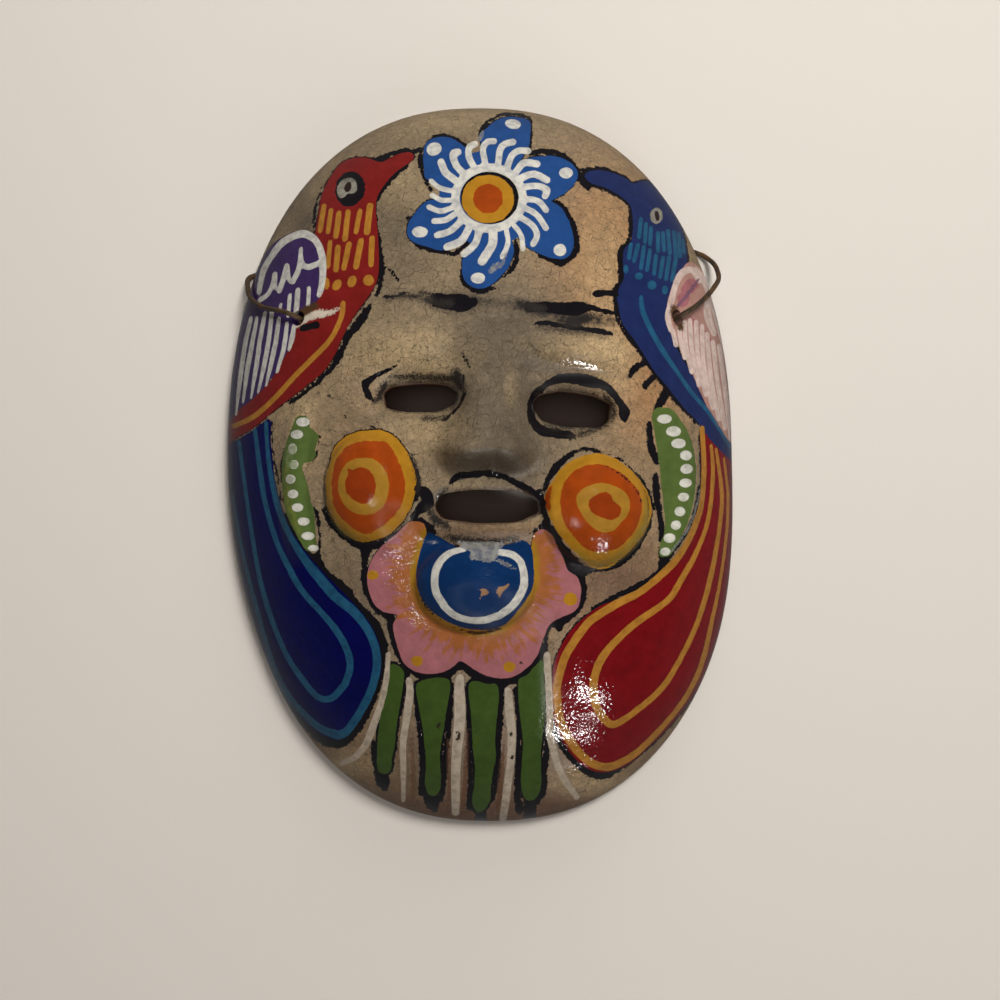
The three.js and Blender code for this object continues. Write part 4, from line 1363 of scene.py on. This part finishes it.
def painted_clay():
    """Builds the whole finish and gives the material."""
    material = bpy.data.materials.new("painted_clay")
    material.use_nodes = True
    tree = material.node_tree
    shader = tree.nodes["Principled BSDF"]
    place = tree.nodes.new("ShaderNodeTexCoord").outputs["Object"]
    cloud = noise(tree, place, CLOUD_SIZE, 3.0)
    wander = noise(tree, place, WANDER_SIZE, 3.0)
    grain = noise(tree, place, GRAIN_SIZE, 3.0, 0.7)
    outside = point_value(tree, "outside")

    crumbs = remap(tree, grain, 0.35, 0.65, 0.75, 1.15)
    hollow = blend_colour(tree, 1.0, tone(*HOLLOW_TONE), even_grey(tree, crumbs), "MULTIPLY")
    clay_colour = bare_clay(tree, place, cloud, wander, grain)
    colour = blend_colour(tree, outside, hollow, clay_colour)
    colour, covered = add_paint(tree, place, wander, grain, colour)
    mottle = remap(tree, noise(tree, place, MOTTLE_SIZE, 4.0, 0.6), 0.3, 0.7, 0.84, 1.12)
    colour = blend_colour(tree, 1.0, colour, even_grey(tree, mottle), "MULTIPLY")
    tree.links.new(colour, shader.inputs["Base Color"])

    thick = remap(tree, point_value(tree, "crinkled"), 0.2, 0.8, 0.0, 0.9)
    ridged = remap(tree, point_value(tree, "ridges"), 0.5, 0.0)
    varnished = maths(tree, "MAXIMUM", covered, maths(tree, "MAXIMUM", thick, ridged))
    gloss = blend_value(tree, varnished, CLAY_ROUGHNESS, VARNISH_ROUGHNESS)
    gloss = blend_value(tree, ridged, gloss, RIDGE_ROUGHNESS)
    gloss = blend_value(tree, point_value(tree, "dulled"), gloss, DULLED_ROUGHNESS)
    tree.links.new(blend_value(tree, outside, HOLLOW_ROUGHNESS, gloss), shader.inputs["Roughness"])
    shader.inputs["Specular IOR Level"].default_value = VARNISH_SHINE
    surface_bump(tree, shader, place, grain, covered, ridged, outside)
    return material


mask.data.materials.clear()
mask.data.materials.append(painted_clay())
print("the finish has", len(mask.data.materials[0].node_tree.nodes), "nodes")

# %% Rusty iron
IRON_TONE, RUST_DARK, RUST_PALE = (82, 72, 60), (50, 36, 25), (104, 78, 52)


def rusty_iron():
    """Dark iron under brown rust: rust where a noise is high, rough and dull, and grey iron
    that still shines a little between."""
    material = bpy.data.materials.new("iron_wire")
    material.use_nodes = True
    tree = material.node_tree
    shader = tree.nodes["Principled BSDF"]
    place = tree.nodes.new("ShaderNodeTexCoord").outputs["Object"]
    patches = noise(tree, place, 1.6, 4.0, 0.65)
    rusted = remap(tree, patches, 0.4, 0.56)
    crumbs = noise(tree, place, 0.3, 3.0, 0.7)
    pale = remap(tree, crumbs, 0.35, 0.65)
    rust = blend_colour(tree, pale, tone(*RUST_DARK), tone(*RUST_PALE))
    iron = blend_colour(tree, rusted, tone(*IRON_TONE), rust)
    tree.links.new(iron, shader.inputs["Base Color"])
    tree.links.new(remap(tree, rusted, 0.0, 1.0, 0.75, 0.15), shader.inputs["Metallic"])
    tree.links.new(remap(tree, rusted, 0.0, 1.0, 0.42, 0.78), shader.inputs["Roughness"])
    bump = tree.nodes.new("ShaderNodeBump")
    bump.inputs["Distance"].default_value = 0.1 * MM
    bump.inputs["Strength"].default_value = 0.8
    tree.links.new(maths(tree, "ADD", patches, crumbs), bump.inputs["Height"])
    tree.links.new(bump.outputs[0], shader.inputs["Normal"])
    return material


# %% [markdown]
# ## Hanging wire
#
# A thin iron wire was bent by hand: it hooks into the hollow at each side, comes out through
# its hole, and goes round the rim and across the back. It is stiff enough to keep its bends,
# so it isn't a hanging cord but a rod along a curve. The curve passes through listed points,
# and a round section is carried along it without twisting.

# %% The wire's route and tube
WIRE_DIAMETER = 1.0
WIRE_SIDES, WIRE_SPAN_STEPS = 14, 9
WIRE_ROUTE = [
    (-29.4, 31.2, 15.2), (-28.7, 29.6, 14.3), (-29.3, 27.8, 14.2), (-30.4, 26.7, 15.6),
    (-31.6, 27, 17.6), (-33.3, 27.5, 20.4), (-34.9, 28.1, 23), (-35.9, 28.5, 24.4),
    (-37.4, 29.1, 24), (-39.6, 29.9, 21.4), (-42.7, 31, 17.8), (-45.4, 32.8, 13.8),
    (-47, 34.6, 10.2), (-48, 36.9, 6.2), (-48.6, 38.6, 3.2), (-48.3, 39.7, 1.4),
    (-47.3, 40.2, 0.64), (-44.5, 40.8, 0.54), (-36, 43.6, 0.54), (-18, 47.6, 0.54),
    (0, 49, 0.54), (18, 48.8, 0.54), (34, 47, 0.54), (42.5, 45.6, 0.54),
    (46.1, 44.7, 0.64), (47.8, 43.5, 1.6), (48.7, 42.1, 3.6), (49, 40.2, 6.4),
    (48.7, 37.9, 9.8), (47.5, 36, 12.6), (45.5, 33.6, 15.4), (42.9, 31.2, 18.8),
    (41.3, 30, 20.9), (40, 29.2, 21.3), (38.9, 28.6, 19.8), (37, 28.1, 17.4),
    (35, 27.5, 14.9), (33.8, 27.5, 13.4), (32.6, 28.5, 12.5), (32.2, 30.2, 12.7),
    (32.8, 31.6, 13.6),
]


def bent_line(points, steps):
    """A centripetal Catmull-Rom curve: each point's knot is the last one's plus the root of
    the distance between them, and each span blends its four nearest points three times."""
    points = np.asarray(points, float)
    nodes = np.vstack([2 * points[0] - points[1], points, 2 * points[-1] - points[-2]])
    knots = np.concatenate([[0], np.cumsum(np.linalg.norm(np.diff(nodes, axis=0), axis=1) ** 0.5)])
    k0, k1, k2, k3 = (knots[i : len(knots) - 3 + i, None, None] for i in range(4))
    p0, p1, p2, p3 = (nodes[i : len(nodes) - 3 + i, None, :] for i in range(4))
    t = k1 + (k2 - k1) * np.arange(steps)[None, :, None] / steps

    def between(a, b, ka, kb):
        return (a * (kb - t) + b * (t - ka)) / (kb - ka)

    a1, a2, a3 = between(p0, p1, k0, k1), between(p1, p2, k1, k2), between(p2, p3, k2, k3)
    spans = between(between(a1, a2, k0, k2), between(a2, a3, k1, k3), k1, k2)
    return np.vstack([spans.reshape(-1, 3), points[-1]])


def tube(name, line, radii, sides):
    """A round section carried along a line: each section's first direction is the last one's,
    made square to the line again, so that the tube doesn't twist. Flat fans close the ends."""
    tangents = np.gradient(line, axis=0)
    tangents /= np.linalg.norm(tangents, axis=1, keepdims=True)
    firsts = [np.cross(tangents[0], [0.3, 0.5, 0.8])]
    for tangent in tangents:
        square = firsts[-1] - tangent * (firsts[-1] @ tangent)
        firsts.append(square / np.linalg.norm(square))
    firsts = np.array(firsts[1:])
    seconds = np.cross(tangents, firsts)
    angle = np.linspace(0, 2 * np.pi, sides, endpoint=False)[None, :, None]
    spokes = firsts[:, None] * np.cos(angle) + seconds[:, None] * np.sin(angle)
    rings = line[:, None] + spokes * radii[:, None, None]
    index = np.arange(len(line) * sides).reshape(len(line), sides)
    nearer = np.roll(index, -1, axis=1)
    quads = np.stack([index[:-1], nearer[:-1], nearer[1:], index[1:]], axis=-1).reshape(-1, 4)
    ends = [index[0, ::-1].tolist(), index[-1].tolist()]
    return mesh_object(name, rings.reshape(-1, 3), quads.tolist() + ends)


wire_line = bent_line(WIRE_ROUTE, WIRE_SPAN_STEPS)
wire_run = np.concatenate([[0], np.cumsum(np.linalg.norm(np.diff(wire_line, axis=0), axis=1))])
wire_radii = WIRE_DIAMETER / 2 * (1 + 0.03 * np.sin(wire_run * 2.1) + 0.02 * np.sin(wire_run * 5.3))
wire = tube("iron_wire", wire_line, wire_radii, WIRE_SIDES)
wire.data.materials.append(rusty_iron())
wire.data.set_sharp_from_angle(angle=math.radians(60))
print("the wire is", round(wire_run[-1]), "mm long and", len(wire.data.polygons), "faces")

# %% [markdown]
# ## Floor, light and camera
#
# The mask lies on a plain pale ground. Broad soft lamps stand for a window and pale walls, and
# a faint one overhead lights the ground seen through the slits. They are left out of
# reflections, which would lay milky patches on the varnish, and the room is dim. The broken
# glints come from one bulb beyond the right of the chin and one small spark, which give no
# other light. The camera looks straight down from about the length of a forearm.

# %% Floor
floor_mesh = bpy.data.meshes.new("floor")
FLOOR_HALF = 1.5
floor_corners = [(-FLOOR_HALF, -FLOOR_HALF, 0), (FLOOR_HALF, -FLOOR_HALF, 0)]
floor_corners += [(FLOOR_HALF, FLOOR_HALF, 0), (-FLOOR_HALF, FLOOR_HALF, 0)]
floor_mesh.from_pydata(floor_corners, [], [(0, 1, 2, 3)])
floor = bpy.data.objects.new("floor", floor_mesh)
bpy.context.collection.objects.link(floor)
floor_look = bpy.data.materials.new("pale_floor")
floor_look.use_nodes = True
floor_shader = floor_look.node_tree.nodes["Principled BSDF"]
floor_shader.inputs["Base Color"].default_value = (0.54, 0.51, 0.47, 1)
floor_shader.inputs["Roughness"].default_value = 0.75
floor.data.materials.append(floor_look)
floor.visible_glossy = False


# %% Light
def soft_lamp(name, place, aim, size, watts, tint):
    """A square lamp at a place in metres, turned to face its aim."""
    light = bpy.data.lights.new(name, "AREA")
    light.shape, light.size, light.energy, light.color = "SQUARE", size, watts, tint
    lamp = bpy.data.objects.new(name, light)
    lamp.location = place
    away = Vector(place) - Vector(aim)
    lamp.rotation_euler = away.to_track_quat("Z", "Y").to_euler()
    bpy.context.collection.objects.link(lamp)
    return lamp


FACE_MIDDLE = (0, 0, 0.02)
DAYLIGHT, CEILING_GLOW, BULB_LIGHT = (1.0, 0.97, 0.93), (1.0, 0.8, 0.76), (1.0, 0.98, 0.95)
LAMPS = [
    soft_lamp("window", (0.14, 0.24, 0.56), FACE_MIDDLE, 0.16, 4.1, DAYLIGHT),
    soft_lamp("pale wall", (0.15, -0.55, 0.42), FACE_MIDDLE, 0.4, 1.3, DAYLIGHT),
    soft_lamp("far wall", (0.1, 0.6, 0.35), FACE_MIDDLE, 0.4, 1.7, DAYLIGHT),
    soft_lamp("ceiling", (0, 0, 1.2), FACE_MIDDLE, 0.25, 0.55, CEILING_GLOW),
]
for lamp in LAMPS:
    lamp.visible_glossy = False
GLINTS = [
    soft_lamp("bulb", (0.39, -0.77, 0.46), FACE_MIDDLE, 0.085, 5.0, BULB_LIGHT),
    soft_lamp("spark", (-0.22, -0.34, 0.9), FACE_MIDDLE, 0.02, 0.6, BULB_LIGHT),
]
for lamp in GLINTS:
    lamp.visible_diffuse = False
print(len(LAMPS), "lamps give light, and", len(GLINTS), "only glints")

# %% The dim room round the mask
ROOM_LOW, ROOM_HIGH = 0.12, 0.05
world = bpy.data.worlds.new("room")
world.use_nodes = True
room = world.node_tree
outward = room.nodes.new("ShaderNodeTexCoord").outputs["Generated"]
height = room.nodes.new("ShaderNodeSeparateXYZ")
room.links.new(outward, height.inputs[0])
walls = remap(room, height.outputs["Z"], 0.0, 0.4, ROOM_LOW, ROOM_HIGH)
room.links.new(walls, room.nodes["Background"].inputs["Strength"])
room.nodes["Background"].inputs["Color"].default_value = (1.0, 0.97, 0.94, 1)
bpy.context.scene.world = world

# %% Camera
lens = bpy.data.cameras.new("camera")
lens.sensor_width = 36.0
lens.lens = FOCAL_PIXELS / PICTURE_SIZE * lens.sensor_width
lens.clip_start = 0.01
camera = bpy.data.objects.new("camera", lens)
camera.location = EYE * MM
bpy.context.collection.objects.link(camera)
bpy.context.scene.camera = camera
bpy.context.scene.view_settings.view_transform = "Standard"
print("camera", (EYE * MM).round(3), "m, lens", round(lens.lens, 1), "mm")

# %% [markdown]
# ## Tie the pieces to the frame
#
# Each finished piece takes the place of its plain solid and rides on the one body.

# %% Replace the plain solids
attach(mask, "root")
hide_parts("mask_shell")
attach(wire, "root")
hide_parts("hanging_wire")
